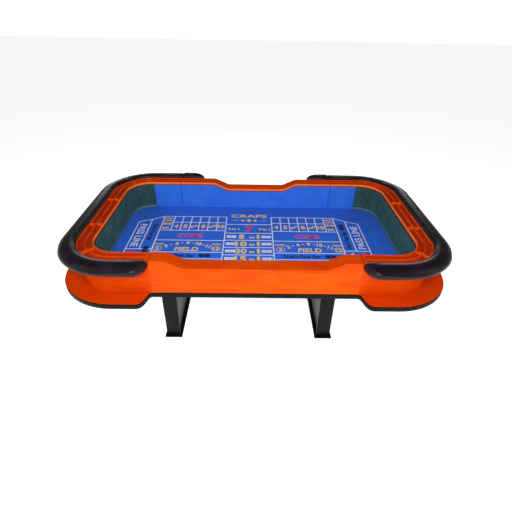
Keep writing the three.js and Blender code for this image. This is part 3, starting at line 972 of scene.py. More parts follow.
class CRAPS_OT_armrests(Operator):
    """Makes the padded vinyl armrests"""

    bl_idname = "craps.armrests"
    bl_label = "Armrests"

    def execute(self, context):
        seam = SEAM_START
        tip = self.tip_places(FRONT_REST_END, settings().rest_taper)
        run = end_run(
            [seam, seam + 0.002, seam + 0.005, seam + 0.011, *np.arange(0.64, 0.83, 0.012)],
            [*tip, *np.arange(tip.max() + 0.012, 0.83, 0.012)],
        )
        self.round_end(run, -1, FRONT_REST_END, 1, settings().rest_taper, 0.05)
        self.round_end(run, 1, seam, 1, 0.012, 0.86)
        long_form = sweep(armrest_profile(), run, taper)
        pucker(long_form, run, {FRONT_REST_END: -1})
        long_held = self.held_points(run)
        back_end = low("back_right_armrest").x
        back_taper = settings().rest_taper * 1.45
        tip = self.tip_places(back_end, back_taper)
        end = [SEAM_X - step for step in (0.024, 0.018, 0.012, 0.006, 0.002, 0)]
        run = straight_run(1, [*tip, *np.arange(tip.max() + 0.01, SEAM_X - 0.03, 0.01), *end])
        self.round_end(run, 1, back_end, 1, back_taper, 0.05)
        self.round_end(run, 1, SEAM_X, -1, 0.024, 0.62)
        short_form = sweep(armrest_profile(1.06), run, taper)
        pucker(short_form, run, {back_end: 1, SEAM_X: 1})
        short_held = self.held_points(run)
        for prefix, form, held, body in (
            ("", long_form, long_held, None), ("back_", short_form, short_held, "centre"),
        ):
            shaped = None
            for name in ("right", "left"):
                if shaped is not None:
                    form = Form(shaped, form.faces, form.grain).mirrored()
                rest = add_object(f"{prefix}{name}_armrest_padded", form, "vinyl", 60)
                if shaped is None:
                    swell(rest, held)
                    shaped = np.array([v.co for v in rest.data.vertices])
                rest.modifiers.new("smooth", "SUBSURF").render_levels = 1
                settle(rest, BODIES[body or name], "armrest_vinyl", f"{prefix}{name}_armrest")
        return {"FINISHED"}

    def tip_places(self, end, length):
        """Stations along a rounded end, close together at its tip."""
        parts = 1 - np.cos(np.linspace(0, math.pi / 2, 16))
        return end + 0.0003 + length * np.maximum(parts, 0.002)

    def round_end(self, run, side, end, direction, length, least):
        """The section grows from an end as a quarter of an ellipse does."""
        here = run.outs[:, 1] * side > 0.99
        distance = np.where(here, (run.points[:, 0] - end) * direction, 1.0)
        part = np.clip(distance / length, 0, 1)
        grown = least + (1 - least) * np.sqrt(1 - (1 - part) ** 2)
        run.fullness = np.minimum(run.fullness, grown)

    def held_points(self, run):
        """The base, the side against the rail and the two end caps stay put."""
        profile = np.array(armrest_profile())
        base = (profile[:, 1] < REST_LOW + 0.012) | (profile[:, 0] < REST_INNER + 0.003)
        held = np.tile(base, (len(run), 1))
        held[:2] = held[-2:] = True
        return [int(i) for i in np.flatnonzero(held.ravel())]


# Tray -----------------------------------------------------------------------------------------


class CRAPS_OT_bumpers(Operator):
    """Makes the green rubber liners, with their grid of pyramids"""

    bl_idname = "craps.bumpers"
    bl_label = "Rubber Bumpers"

    def execute(self, context):
        form = self.grid()
        names = ("{}_pyramid_rubber", "rubber", "bumper_rubber", "{}_rubber_bumper")
        add_pair(form, *names, crease=20)
        return {"FINISHED"}

    def stations(self, pitch):
        """Evenly spaced stations round the end, measured on the bumper's face."""
        fine = end_run([BUMPER_START], [BUMPER_START], 60)
        face = fine.points + fine.outs * -0.006
        along = np.concatenate([[0], np.cumsum(np.linalg.norm(np.diff(face, axis=0), axis=1))])
        count = int(round(along[-1] / pitch)) * 2
        wanted = np.linspace(0, along[-1], count + 1)
        points = np.column_stack([np.interp(wanted, along, fine.points[:, i]) for i in (0, 1)])
        outs = np.column_stack([np.interp(wanted, along, fine.outs[:, i]) for i in (0, 1)])
        outs /= np.linalg.norm(outs, axis=1)[:, None]
        return Run(points, outs)

    def grid(self):
        """Even rows and columns hold the valleys; a peak stands where odd ones cross."""
        s = settings()
        run = self.stations(s.pyramid_pitch)
        base, peak, back = -0.0045, -0.012, 0.0015
        lip = 0.02
        first = BUMPER_LOW + lip + 0.003
        rows = int(round((BUMPER_TOP - 0.004 - first) / s.pyramid_pitch)) * 2
        grid_heights = np.linspace(first, BUMPER_TOP - 0.004, rows + 1)
        lip_rows = [
            (back, BUMPER_LOW), (-0.009, BUMPER_LOW), (-0.0113, BUMPER_LOW + 0.002),
            (-0.012, BUMPER_LOW + 0.006), (-0.012, BUMPER_LOW + lip - 0.005),
            (-0.0108, BUMPER_LOW + lip - 0.0015), (-0.007, BUMPER_LOW + lip),
        ]
        profile = [(r, z, 0) for r, z in lip_rows]
        profile += [(base, z, i % 2) for i, z in enumerate(grid_heights)]
        profile += [(base, BUMPER_TOP, 0), (back, BUMPER_TOP, 0)]
        columns = len(profile)
        points, grain = [], []
        for i in range(len(run)):
            for reach, z, odd in profile:
                here = peak if odd and i % 2 else reach
                point = run.points[i] + run.outs[i] * here
                points.append((point[0], point[1], z))
                grain.append((run.along[i], here, z))
        *quads, first_end, last_end = ring_faces(len(run), columns)
        faces = []
        for number, quad in enumerate(quads):
            i, j = divmod(number, columns)
            faces += self.split(quad, i, profile[j][2], profile[(j + 1) % columns][2])
        faces += [first_end, last_end]
        return Form(points, [f[::-1] for f in faces], grain)

    def split(self, quad, station, odd_low, odd_high):
        """Cuts each cell from its peak to the far corner, so that pyramids have flat sides."""
        a, b, c, d = quad
        if not (odd_low or odd_high):
            return [quad]
        peak_first = bool(station % 2)
        if (odd_low and peak_first) or (odd_high and not peak_first):
            return [(a, b, c), (a, c, d)]
        return [(a, b, d), (b, c, d)]


class CRAPS_OT_inner_boards(Operator):
    """Gives the boards that keep their own shape their finishes"""

    bl_idname = "craps.inner_boards"
    bl_label = "Inner Boards"

    def execute(self, context):
        for node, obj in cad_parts.items():
            finish = self.finish_of(node)
            if finish:
                refinish(obj, finish)
        return {"FINISHED"}

    def finish_of(self, node):
        endings = {
            "inner_wall": "wall_felt",
            "deck": "plywood",
            "armrest_core": "plywood",
            "dowel": "plywood",
        }
        return next((f for ending, f in endings.items() if node.endswith(ending)), None)


def layout_outline():
    inset = 0.0006
    radius = settings().corner_radius + 0.0012
    x, y = high("playing_layout").x - inset, high("playing_layout").y - inset
    cx, cy = x - radius, y - radius
    quarter = math.pi / 2
    corners = [(cx, -cy, -quarter), (cx, cy, 0.0), (-cx, cy, quarter), (-cx, -cy, 2 * quarter)]
    arcs = [corner_arc(a, b, radius, start, start + quarter, 24) for a, b, start in corners]
    return np.vstack(arcs)


class CRAPS_OT_layout_cloth(Operator):
    """Lays the felt playing cloth over the three decks"""

    bl_idname = "craps.layout_cloth"
    bl_label = "Layout Cloth"

    def execute(self, context):
        outline = layout_outline()
        form = slab(outline, PLAY_LOW, PLAY_TOP, 0.001, 3)
        cloth = add_object("layout_cloth", form, "layout_felt")
        settle(cloth, BODIES["centre"], "layout_felt", "playing_layout")
        return {"FINISHED"}


# Print ----------------------------------------------------------------------------------------

PRINTS = ("print_white", "print_gold", "print_red", "print_dark")
PRINT_THICKNESS = 0.00025

# The layout's grid, in metres from the middle of the print.
INNER_LINE = 0.179
OUTER_LINE = 0.6793
PASS_INNER = 0.768
PASS_OUTER = 0.8636
PASS_TOPS = (0.3456, 0.2915, 0.2496)  # at the outer line, and at the pass line's two sides
BOX_ROWS = (0.3456, 0.2486, 0.1202)
COME_BOTTOM = -0.025
FIELD_BOTTOM = -0.185
BAR_BOTTOM = -0.267
PASS_BOTTOM = -0.149
WRAP_BOTTOM = -0.375
FIRST_BOX = 0.0834
PROP_ROWS = (0.2238, 0.0858, -0.0179, -0.1162, -0.2134, -0.3067)


def circle(centre, radius, angles):
    return [(centre[0] + radius * math.cos(a), centre[1] + radius * math.sin(a)) for a in angles]


def square(centre, half):
    x, y = centre
    return [(x - half, y - half), (x + half, y - half), (x + half, y + half), (x - half, y + half)]


class Print:
    """Collects the thin printed shapes of one colour."""

    def __init__(self, finish, lift):
        self.finish = finish
        self.bottom = PLAY_TOP + 0.00005
        self.top = self.bottom + PRINT_THICKNESS + lift
        self.form = Form()

    def polygon(self, outline, lift=0.0):
        outline = [tuple(p) for p in outline]
        if signed_area(outline) < 0:
            outline = outline[::-1]
        count = len(outline)
        points = [(x, y, self.bottom) for x, y in outline]
        points += [(x, y, self.top + lift) for x, y in outline]
        faces = [tuple(range(count))[::-1], tuple(range(count, 2 * count))]
        faces += [(j, (j + 1) % count, count + (j + 1) % count, count + j) for j in range(count)]
        self.form.add(Form(points, faces))

    def line(self, start, end, width=None, lift=0.0):
        a, b = Vector(start), Vector(end)
        half = (width or settings().line_width) / 2
        along = (b - a).normalized() * half
        across = Vector((-along.y, along.x))
        a, b = a - along, b + along
        self.polygon([a + across, a - across, b - across, b + across], lift)

    def ring(self, centre, radius, width, steps=40):
        angles = np.linspace(0, 2 * math.pi, steps, endpoint=False)
        for start, end in zip(angles, np.roll(angles, -1)):
            end = end if end > start else end + 2 * math.pi
            inner = circle(centre, radius - width, (start, end))
            outer = circle(centre, radius, (start, end))
            self.polygon([inner[0], outer[0], outer[1], inner[1]])

    def dot(self, centre, radius, lift=0.0, steps=10):
        angles = np.linspace(0, 2 * math.pi, steps, endpoint=False)
        self.polygon(circle(centre, radius, angles), lift)

    def words(self, text, centre, height, angle=0.0, width=None, shear=0.0, bold=0.0015):
        """Letters of a cap height, turned about their middle, and squeezed to a width."""
        curve = bpy.data.curves.new("words", "FONT")
        curve.body = text
        curve.size = height / 0.7
        curve.shear = shear
        curve.offset = bold
        curve.align_x = "CENTER"
        curve.resolution_u = 3
        curve.extrude = (self.top - self.bottom) / 2
        holder = bpy.data.objects.new("words", curve)
        bpy.context.scene.collection.objects.link(holder)
        bpy.context.view_layer.update()
        graph = bpy.context.evaluated_depsgraph_get()
        mesh = bpy.data.meshes.new_from_object(holder.evaluated_get(graph))
        points = np.array([v.co for v in mesh.vertices])
        faces = [tuple(p.vertices) for p in mesh.polygons]
        bpy.data.objects.remove(holder)
        bpy.data.meshes.remove(mesh)
        bpy.data.curves.remove(curve)
        lowest, highest = points.min(axis=0), points.max(axis=0)
        middle = (lowest + highest) / 2
        points -= (middle[0], middle[1], 0)
        if width:
            points[:, 0] *= width / (highest[0] - lowest[0])
        points[:, 2] += (self.top + self.bottom) / 2
        turn = Matrix.Translation((*centre, 0)) @ Matrix.Rotation(angle, 4, "Z")
        self.form.add(Form(points, faces).turned(turn))

    def finish_piece(self, name):
        shift = np.array([settings().print_shift, 0, 0])
        self.form.points = self.form.points + shift
        self.form.grain = self.form.points.copy()
        piece = add_object(name, self.form, self.finish)
        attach(piece, BODIES["centre"])


PIPS = {
    1: [(0, 0)],
    2: [(-1, 1), (1, -1)],
    3: [(-1, 1), (0, 0), (1, -1)],
    4: [(-1, 1), (1, 1), (-1, -1), (1, -1)],
    5: [(-1, 1), (1, 1), (0, 0), (-1, -1), (1, -1)],
    6: [(-1, 1), (1, 1), (-1, 0), (1, 0), (-1, -1), (1, -1)],
}


class CRAPS_OT_layout_print(Operator):
    """Prints the betting layout on the cloth"""

    bl_idname = "craps.layout_print"
    bl_label = "Layout Print"

    def execute(self, context):
        inks = {
            name: Print(f"ink_{name.split('_')[1]}", lift)
            for name, lift in zip(PRINTS, (0.0, 0.00004, 0.00008, 0.00012))
        }
        self.white, self.gold, self.red, self.dark = inks.values()
        self.centre_column()
        for side in (-1, 1):
            self.grid(side)
            self.box_numbers(side)
            self.field(side)
            self.pass_line(side)
        for name, collected in inks.items():
            collected.finish_piece(name)
        return {"FINISHED"}

    def die(self, sheet, pips, centre, size, number, spot=0.11):
        sheet.polygon(rounded(square(centre, size / 2), size * 0.16, 3))
        for dx, dy in PIPS[number]:
            place = (centre[0] + dx * size * 0.25, centre[1] + dy * size * 0.25)
            pips.dot(place, size * spot, 0.00006)

    def centre_column(self):
        white, gold = self.white, self.gold
        left, right = -INNER_LINE, INNER_LINE
        for side in (left, right):
            white.line((side, PASS_TOPS[0]), (side, PROP_ROWS[-1]), lift=0.00002)
        for y in PROP_ROWS:
            white.line((left, y), (right, y))
        gold.words("CRAPS", (0, 0.366), 0.05, width=0.29)
        diamonds_y = 0.288
        for x in (-0.05, 0.0, 0.05):
            size = 0.017 if x else 0.024
            around = circle((x, diamonds_y), size, [math.pi * n / 2 for n in (2, 1, 0, -1)])
            gold.polygon(around)
        for side in (-1, 1):
            gold.line((side * 0.085, diamonds_y), (side * 0.135, diamonds_y), 0.004)
            gold.words("4 to 1", (side * 0.118, 0.151), 0.034, width=0.085)
        self.red.words("7", (0.004, 0.151), 0.088, width=0.062, bold=0.004)
        pairs = [((4, 4), (3, 3)), ((5, 5), (2, 2)), ((1, 1), (6, 6)), ((1, 2), (5, 6))]
        for i, (odds, (first, second)) in enumerate(zip((8, 10, 30, 15), pairs)):
            y = (PROP_ROWS[i + 1] + PROP_ROWS[i + 2]) / 2
            width = 0.042 if odds == 8 else 0.082
            gold.words(str(odds), (-0.052, y), 0.058, width=width, bold=0.003)
            gold.words("to", (0.024, y - 0.009), 0.03, width=0.042)
            gold.words("1", (0.071, y), 0.058, width=0.02, bold=0.002)
            gold.line((0.063, y - 0.027), (0.082, y - 0.027), 0.005)
            for x, number in zip((-0.146, -0.109), first):
                self.die(white, self.dark, (x, y), 0.035, number, 0.08)
            for x, number in zip((0.112, 0.149), second):
                self.die(white, self.dark, (x, y), 0.035, number, 0.08)

    def grid(self, side):
        """White lines of one side's number boxes, come, field and bar."""
        line = self.white.line
        inner, outer = side * INNER_LINE, side * OUTER_LINE
        for y in (BOX_ROWS[0], BOX_ROWS[2], COME_BOTTOM, FIELD_BOTTOM, BAR_BOTTOM):
            line((inner, y), (outer, y))
        line((inner, BOX_ROWS[1]), (side * (OUTER_LINE - FIRST_BOX), BOX_ROWS[1]))
        for x in self.box_edges():
            line((side * x, BOX_ROWS[0]), (side * x, BOX_ROWS[2]), lift=0.00002)
        line((outer, BOX_ROWS[0]), (outer, BAR_BOTTOM), lift=0.00002)

    def box_edges(self):
        return [INNER_LINE + i * (OUTER_LINE - FIRST_BOX - INNER_LINE) / 6 for i in range(1, 7)]

    def box_numbers(self, side):
        """4, 5, six, 8, nine and 10 read from left to right on both sides."""
        edges = [INNER_LINE, *self.box_edges()]
        centres = sorted(side * (a + b) / 2 for a, b in zip(edges, edges[1:]))
        y = (BOX_ROWS[1] + BOX_ROWS[2]) / 2
        for x, label in zip(centres, ("4", "5", "SIX", "8", "NINE", "10")):
            if label.isdigit():
                width = 0.048 if len(label) > 1 else 0.032
                self.gold.words(label, (x, y), 0.05, width=width, bold=0.003)
            else:
                self.gold.words(label, (x, y), 0.024, math.radians(32), width=0.064)
        x = side * (OUTER_LINE - FIRST_BOX / 2)
        self.gold.words("DON'T", (x, 0.31), 0.022, width=0.066)
        self.gold.words("COME", (x, 0.272), 0.022, width=0.066)
        for dx in (-0.018, 0.018):
            self.die(self.gold, self.dark, (x + dx, 0.222), 0.03, 6, 0.08)
        self.gold.words("BAR", (x, 0.158), 0.03, width=0.055)
        self.red.words("COME", (side * 0.434, 0.043), 0.05, width=0.185, bold=0.0015)

    def field(self, side):
        """The field: numbers on an arch over its name, and 2 and 12 in rings."""
        middle = side * 0.436
        self.gold.words("FIELD", (middle, -0.144), 0.048, width=0.17, shear=0.1, bold=0.0015)
        radius, top = 0.276, -0.062
        labels = ("3", "·", "4", "·", "9", "·", "10", "·", "11")
        for i, label in enumerate(labels):
            angle = math.radians(-33 + 66 * i / (len(labels) - 1))
            x = middle + radius * math.sin(angle)
            y = top - radius + radius * math.cos(angle)
            if label == "·":
                self.gold.dot((x, y), 0.006)
            else:
                self.gold.words(label, (x, y), 0.036, -angle * 0.8, bold=0.002)
        for x, number, note in ((-0.207, "2", "DOUBLE"), (0.207, "12", "TRIPLE")):
            self.gold.ring((middle + x, -0.138), 0.033, 0.0045)
            self.gold.words(number, (middle + x, -0.138), 0.034, bold=0.002)
            self.gold.words(note, (middle + x, -0.078), 0.018, width=0.07, bold=0.001)
        bar = (FIELD_BOTTOM + BAR_BOTTOM) / 2
        self.dark.words("Don't Pass Bar", (middle - 0.06, bar), 0.036, width=0.26)
        for dx in (0.115, 0.157):
            self.die(self.dark, self.white, (middle + dx, bar), 0.038, 6, 0.05)

    def pass_line(self, side):
        """The pass line down the side and along the front, and the boxes where they meet."""
        line = self.white.line
        outer, inner, edge = side * PASS_OUTER, side * PASS_INNER, side * OUTER_LINE
        line((edge, PASS_TOPS[0]), (inner, PASS_TOPS[1]))
        line((inner, PASS_TOPS[1]), (outer, PASS_TOPS[2]))
        line((outer, PASS_TOPS[2]), (outer, WRAP_BOTTOM), lift=0.00002)
        line((inner, PASS_TOPS[1]), (inner, PASS_BOTTOM), lift=0.00002)
        line((edge, PASS_BOTTOM), (outer, PASS_BOTTOM))
        line((outer, WRAP_BOTTOM), (0, WRAP_BOTTOM))
        line((edge, PROP_ROWS[-1]), (0, PROP_ROWS[-1]))
        line((edge, BAR_BOTTOM), (edge, PROP_ROWS[-1]), lift=0.00002)
        turn = side * math.pi / 2
        band = (PASS_INNER + PASS_OUTER) / 2
        self.white.words("PASS LINE", (side * band, 0.045), 0.052, turn, width=0.33, bold=0.001)
        bar = (OUTER_LINE + PASS_INNER) / 2
        place = (side * bar, 0.045 - side * 0.045)
        self.dark.words("Don't Pass Bar", place, 0.034, turn, width=0.25)
        for dy in (0.0, 0.045):
            self.die(self.dark, self.white, (side * bar, side * (0.2 - dy) + 0.02), 0.038, 6, 0.05)
        for ink, x, number in ((self.white, 0.73, "6"), (self.red, 0.81, "8")):
            ink.words(number, (side * x, -0.205), 0.06, width=0.045, bold=0.003)
        self.white.words("PASS LINE", (side * 0.42, -0.34), 0.04, width=0.3, bold=0.002)


# Pedestals and knobs --------------------------------------------------------------------------


class CRAPS_OT_pedestals(Operator):
    """Makes the boards and plates of the two pedestals, with rounded edges"""

    bl_idname = "craps.pedestals"
    bl_label = "Pedestals"

    def execute(self, context):
        parts = {
            "foot_plate": ("plate_finished", "pedestal_black", 0.0025),
            "front_board": ("front_board_finished", "pedestal_black", 0.002),
            "back_board": ("back_board_finished", "pedestal_black", 0.002),
            # The side panels take a grey copy of the black paint: painted light on faces that turn
            # sideways.
            "inner_panel": ("inner_panel_finished", "pedestal_grey", 0.001),
            "outer_panel": ("outer_panel_finished", "pedestal_grey", 0.001),
        }
        for name in SIDES:
            for part, (finished, finish, edge) in parts.items():
                node = f"{name}_pedestal_{part}"
                form = soft_box(*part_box(node), edge)
                board = add_object(f"{name}_pedestal_{finished}", form, finish)
                slot = f"pedestal_{part.split('_')[-1]}"
                settle(board, BODIES["centre"], slot, node)
            refinish(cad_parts[f"{name}_pedestal_top_plate"], "pedestal_black")
        return {"FINISHED"}


class CRAPS_OT_hand_knobs(Operator):
    """Makes the lobed hand knobs that hold the end sections"""

    bl_idname = "craps.hand_knobs"
    bl_label = "Hand Knobs"

    def execute(self, context):
        for name in SIDES:
            for place in ("front", "back"):
                node = f"{name}_{place}_knob"
                knob = add_object(f"{node}_moulded", self.shape(node), "moulded", 50)
                settle(knob, f"{name}_{place}_hand_knob", "knob_plastic", node)
        return {"FINISHED"}

    def shape(self, node):
        """Rings from the foot of the knob to the tip of its screw."""
        bottom, top = low(node).z, high(node).z
        centre = (low(node) + high(node)) / 2
        lobes, steps = 5, 60
        radius = (high(node).y - low(node).y) / 2 / math.sin(math.tau / lobes)
        centre.x = high(node).x - radius
        radius -= 0.0004
        head = bottom + 0.018
        rings = [
            (0.35, bottom + 0.0006, 0), (0.7, bottom, 0.5), (0.9, bottom + 0.0015, 0.9),
            (0.985, bottom + 0.005, 1), (1, bottom + 0.009, 1), (0.985, head - 0.004, 1),
            (0.9, head - 0.0008, 0.9), (0.8, head, 0.8),
        ]
        screw = 0.005 / radius
        rings += [(screw, head, 0), (screw, top - 0.001, 0), (screw * 0.8, top, 0)]
        angles = np.linspace(0, 2 * math.pi, steps, endpoint=False)
        points = []
        for share, z, depth in rings:
            r = radius * share * (1 - 0.07 * depth * (1 - np.cos(lobes * angles)))
            x, y = centre.x + r * np.cos(angles), centre.y + r * np.sin(angles)
            points.append(np.column_stack([x, y, np.full(steps, z)]))
        return Form(np.vstack(points), ring_faces(len(rings), steps))


# Studio ---------------------------------------------------------------------------------------


class CRAPS_OT_studio(Operator):
    """Sets the camera, the floor and the soft lights"""

    bl_idname = "craps.studio"
    bl_label = "Studio"

    def execute(self, context):
        view = context.scene.craps_table_view
        self.camera(context, view)
        self.floor(view)
        self.surroundings(view)
        self.lights(view)
        context.scene.view_settings.view_transform = "Standard"
        return {"FINISHED"}

    def camera(self, context, view):
        data = bpy.data.cameras.new("camera")
        data.lens = view.lens
        data.sensor_width = 36
        camera = bpy.data.objects.new("camera", data)
        heading, down, roll = view.heading, view.down, view.roll
        forward = Vector((
            math.sin(heading) * math.cos(down), math.cos(heading) * math.cos(down), -math.sin(down),
        ))
        right = Vector((math.cos(heading), -math.sin(heading), 0))
        up = right.cross(forward)
        rolled_right = right * math.cos(roll) + up * math.sin(roll)
        rolled_up = up * math.cos(roll) - right * math.sin(roll)
        turn = Matrix((rolled_right, rolled_up, -forward)).transposed()
        camera.matrix_world = Matrix.Translation(view.camera_place) @ turn.to_4x4()
        bpy.context.scene.collection.objects.link(camera)
        context.scene.camera = camera

    def floor(self, view):
        size = 30.0
        mesh = bpy.data.meshes.new("studio_floor")
        corners = [(x, y, 0) for x, y in square((0, 0), size)]
        mesh.from_pydata(corners, [], [(0, 1, 2, 3)])
        shader = Shader("studio_paper")
        speckle = shader.noise(shader.place(), 30, 3)
        shader.set(
            base_color=shader.mix(speckle, (0.93, 0.93, 0.93), (0.96, 0.96, 0.96)),
            roughness=0.9,
            specular_ior_level=0.1,
            emission_color=(1.0, 1.0, 1.0),
            emission_strength=view.floor_glow,
        )
        mesh.materials.append(shader.material)
        floor = bpy.data.objects.new("studio_floor", mesh)
        bpy.context.scene.collection.objects.link(floor)

    def surroundings(self, view):
        """A white background that lights softly and shows darkly in gloss."""
        world = bpy.data.worlds.new("studio_world")
        shader = Shader("studio_world", world)
        path = shader.node("ShaderNodeLightPath")
        camera, glossy = path.named("Is Camera Ray"), path.named("Is Glossy Ray")
        soft = view.world_light - glossy * (view.world_light - view.world_gloss)
        background = shader.tree.nodes["Background"]
        shader.feed(background.inputs["Strength"], camera + (1 - camera) * soft)
        shader.feed(background.inputs["Color"], (1, 1, 1))
        bpy.context.scene.world = world

    def lights(self, view):
        boxes = [
            ("key_box", (-0.15, -3.1, 3.0), (0, -0.3, 0.8), 1.1, 1.0),
            ("left_box", (-3.3, -1.3, 2.4), (-0.8, 0, 0.8), 1.2, 0.14),
            ("right_box", (3.3, -1.3, 2.4), (0.8, 0, 0.8), 1.2, 0.14),
            ("back_left_box", (-2.2, 4.0, 1.5), (-0.3, 0.6, 0.7), 1.4, 0.3),
            ("back_right_box", (2.2, 4.0, 1.5), (0.3, 0.6, 0.7), 1.4, 0.3),
        ]
        for name, place, target, size, share in boxes:
            data = bpy.data.lights.new(name, "AREA")
            data.shape = "SQUARE"
            data.size = size
            data.energy = view.box_light * share
            light = bpy.data.objects.new(name, data)
            light.location = place
            direction = Vector(target) - Vector(place)
            light.rotation_euler = direction.to_track_quat("-Z", "Y").to_euler()
            bpy.context.scene.collection.objects.link(light)


# Settings, panel and registration -------------------------------------------------------------


def length(name, description, default):
    return FloatProperty(
        name=name, description=description, default=default, unit="LENGTH", precision=4
    )


def colour(name, description, default):
    return FloatVectorProperty(
        name=name, description=description, default=default, size=3, min=0, max=1, subtype="COLOR"
    )


class CrapsTableSizes(PropertyGroup):
    """Sizes that shape the finished pieces"""

    corner_radius: length("Corner Radius", "Of the tray's inner face, seen from above", 0.17)
    groove_inner: length("Inner Groove", "Reach of the middle of the inner chip groove", 0.028)
    groove_outer: length("Outer Groove", "Reach of the middle of the outer chip groove", 0.074)
    groove_radius: length("Groove Radius", "Radius of a chip groove", 0.0215)
    groove_depth: length("Groove Depth", "Depth of a chip groove", 0.017)
    groove_lip: length("Groove Lip", "Softness of a groove's edge", 0.0014)
    front_groove_end: length("Front Groove End", "Where the front grooves stop", 0.641)
    back_groove_end: length("Back Groove End", "Where the back grooves stop", 0.447)
    divider_y: length("Divider Place", "Of the two dividers along an end", 0.19)
    divider_thickness: length("Divider Thickness", "Thickness of a chip divider", 0.007)
    notch_drop: length("Notch Drop", "How far the middle of a long rail is lowered", 0.05)
    front_notch_low: length("Front Notch Flat", "Half-length of the front rail's low part", 0.417)
    front_notch_high: length("Front Notch Start", "Where the front rail begins to fall", 0.524)
    back_notch_low: length("Back Notch Flat", "Half-length of the back rail's low part", 0.226)
    back_notch_high: length("Back Notch Start", "Where the back rail begins to fall", 0.333)
    shelf_curve_end: length("Shelf Curve End", "Where an end shelf reaches full width", 0.7)
    back_shelf_curve_start: length("Back Shelf Start", "Where a back shelf starts", 0.415)
    back_shelf_curve_end: length("Back Shelf Curve End", "Where it reaches full width", 0.498)
    rest_taper: length("Armrest Taper", "Length of an armrest's rounded end", 0.075)
    pyramid_pitch: length("Pyramid Pitch", "From pyramid to pyramid on the rubber", 0.0185)
    print_shift: length("Print Shift", "The print's middle, from the table's middle", -0.0497)
    line_width: length("Line Width", "Width of the layout's white lines", 0.008)


class CrapsTableColours(PropertyGroup):
    """Colours of the finishes"""

    cherry_light: colour("Cherry Light", "Stained wood where it is light", (0.86, 0.115, 0.001))
    cherry_dark: colour("Cherry Dark", "Stained wood where it is dark", (0.68, 0.05, 0.0005))
    # A deeper red, laid on the end aprons, the shelves and the rails.
    cherry_deep: colour("Cherry Deep", "Stained wood of the end sections", (0.6, 0.032, 0.001))
    cherry_pore: colour("Cherry Pores", "Stained wood in its pores", (0.2, 0.014, 0.002))
    # Painted shade for the grooves and for the lower part of the rails' inner lip.
    cherry_hollow: colour("Groove Cherry", "Stained wood down in the grooves", (0.3, 0.012, 0.001))
    # Painted highlight on the upper part of the rails' inner lip.
    cherry_lip: colour("Cherry Lip", "Rubbed inner edge of the rails", (1.0, 0.25, 0.045))
    vinyl: colour("Vinyl", "Armrest vinyl", (0.007, 0.0045, 0.0075))
    vinyl_worn: colour("Worn Vinyl", "Armrest vinyl where hands rub it", (0.015, 0.010, 0.016))
    wall_felt: colour("Wall Felt", "Felt on the tray's walls", (0.045, 0.215, 0.88))
    wall_felt_shade: colour(
        "Wall Felt Shade", "The same felt between its fibres", (0.026, 0.145, 0.66)
    )
    layout_felt: colour("Layout Felt", "Felt of the playing cloth", (0.027, 0.16, 0.8))
    layout_felt_shade: colour(
        "Layout Felt Shade", "The same felt between its fibres", (0.02, 0.125, 0.66)
    )
    rubber: colour("Rubber", "Rubber bumper", (0.034, 0.125, 0.13))
    # Painted shade between the rubber's pyramids.
    rubber_hollow: colour("Hollow Rubber", "Rubber between the pyramids", (0.011, 0.045, 0.05))
    # Lighter rubber: rubbed on the pyramid tips in clouds, and laid evenly along the lip.
    rubber_dusty: colour("Rubbed Rubber", "Rubber where dice rub it", (0.085, 0.225, 0.215))
    edging: colour("Edging", "Black edging", (0.003, 0.0028, 0.003))
    edging_worn: colour("Worn Edging", "Black edging where it is scuffed", (0.009, 0.009, 0.0095))
    pedestal_black: colour("Black Paint", "Pedestal boards and plates", (0.0045, 0.0035, 0.004))
    pedestal_black_worn: colour(
        "Worn Black Paint", "The same paint where it is rubbed", (0.009, 0.008, 0.0085)
    )
    # A grey copy of the black paint: painted light on the pedestals' side panels.
    pedestal_grey: colour("Grey Paint", "Pedestal side panels", (0.05, 0.05, 0.053))
    pedestal_grey_worn: colour(
        "Worn Grey Paint", "The same paint where it is rubbed", (0.08, 0.08, 0.084)
    )
    plywood: colour("Plywood", "Bare boards", (0.6, 0.42, 0.24))
    plywood_dark: colour("Plywood Grain", "Bare boards in the grain", (0.4, 0.26, 0.13))
    ink_white: colour("White Ink", "Layout lines", (0.74, 0.74, 0.9))
    ink_gold: colour("Gold Ink", "Layout numbers", (0.86, 0.6, 0.1))
    ink_red: colour("Red Ink", "Layout red words", (0.86, 0.05, 0.12))
    ink_dark: colour("Dark Ink", "Layout dark words", (0.01, 0.016, 0.06))


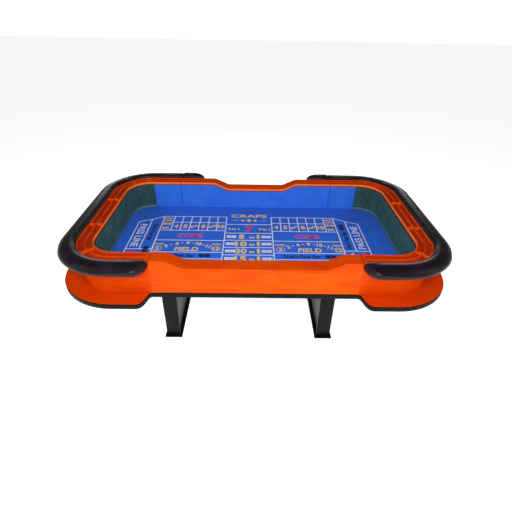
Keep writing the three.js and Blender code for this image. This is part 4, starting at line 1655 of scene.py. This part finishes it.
class CrapsTableView(PropertyGroup):
    """Camera and lights"""

    camera_place: FloatVectorProperty(
        name="Camera Place", description="Where the camera is", default=(-0.0264, -2.4075, 2.1702),
        size=3, subtype="TRANSLATION", unit="LENGTH",
    )
    heading: FloatProperty(
        name="Heading", description="Turn from +Y", default=math.radians(0.811), subtype="ANGLE"
    )
    down: FloatProperty(
        name="Down", description="Tilt below level", default=math.radians(33.397), subtype="ANGLE"
    )
    roll: FloatProperty(
        name="Roll", description="Roll about the view", default=math.radians(1.091), subtype="ANGLE"
    )
    lens: FloatProperty(name="Lens", description="Focal length in millimetres", default=26.709)
    box_light: FloatProperty(name="Soft Boxes", description="Power of the key light", default=105.0)
    world_light: FloatProperty(
        name="World Light", description="Strength of the surroundings", default=0.2
    )
    world_gloss: FloatProperty(
        name="World Gloss", description="Their strength in reflections", default=0.1
    )
    floor_glow: FloatProperty(
        name="Floor Glow", description="Light given off by the floor", default=0.74
    )


OPERATORS = (
    CRAPS_OT_studio,
    CRAPS_OT_chip_rails,
    CRAPS_OT_centre_rails,
    CRAPS_OT_chip_dividers,
    CRAPS_OT_aprons,
    CRAPS_OT_drink_shelves,
    CRAPS_OT_platforms,
    CRAPS_OT_armrests,
    CRAPS_OT_bumpers,
    CRAPS_OT_inner_boards,
    CRAPS_OT_layout_print,
    CRAPS_OT_layout_cloth,
    CRAPS_OT_pedestals,
    CRAPS_OT_hand_knobs,
)


class CRAPS_PT_sidebar(Panel):
    """Lists the pieces in the order in which they are made"""

    bl_idname = "CRAPS_PT_sidebar"
    bl_label = "Craps Table"
    bl_space_type = "VIEW_3D"
    bl_region_type = "UI"
    bl_category = "Craps Table"

    def draw(self, context):
        for group in (context.scene.craps_table_sizes, context.scene.craps_table_colours):
            box = self.layout.box()
            for name in group.__annotations__:
                box.prop(group, name)
        for operator in OPERATORS:
            self.layout.operator(operator.bl_idname)


CLASSES = (CrapsTableSizes, CrapsTableColours, CrapsTableView, *OPERATORS, CRAPS_PT_sidebar)


def register():
    for cls in CLASSES:
        bpy.utils.register_class(cls)
    bpy.types.Scene.craps_table_sizes = PointerProperty(type=CrapsTableSizes)
    bpy.types.Scene.craps_table_colours = PointerProperty(type=CrapsTableColours)
    bpy.types.Scene.craps_table_view = PointerProperty(type=CrapsTableView)


def unregister():
    del bpy.types.Scene.craps_table_view
    del bpy.types.Scene.craps_table_colours
    del bpy.types.Scene.craps_table_sizes
    for cls in reversed(CLASSES):
        bpy.utils.unregister_class(cls)


def main():
    register()
    for operator in OPERATORS:
        group, name = operator.bl_idname.split(".")
        getattr(getattr(bpy.ops, group), name)()


if __name__ == "__main__":
    main()
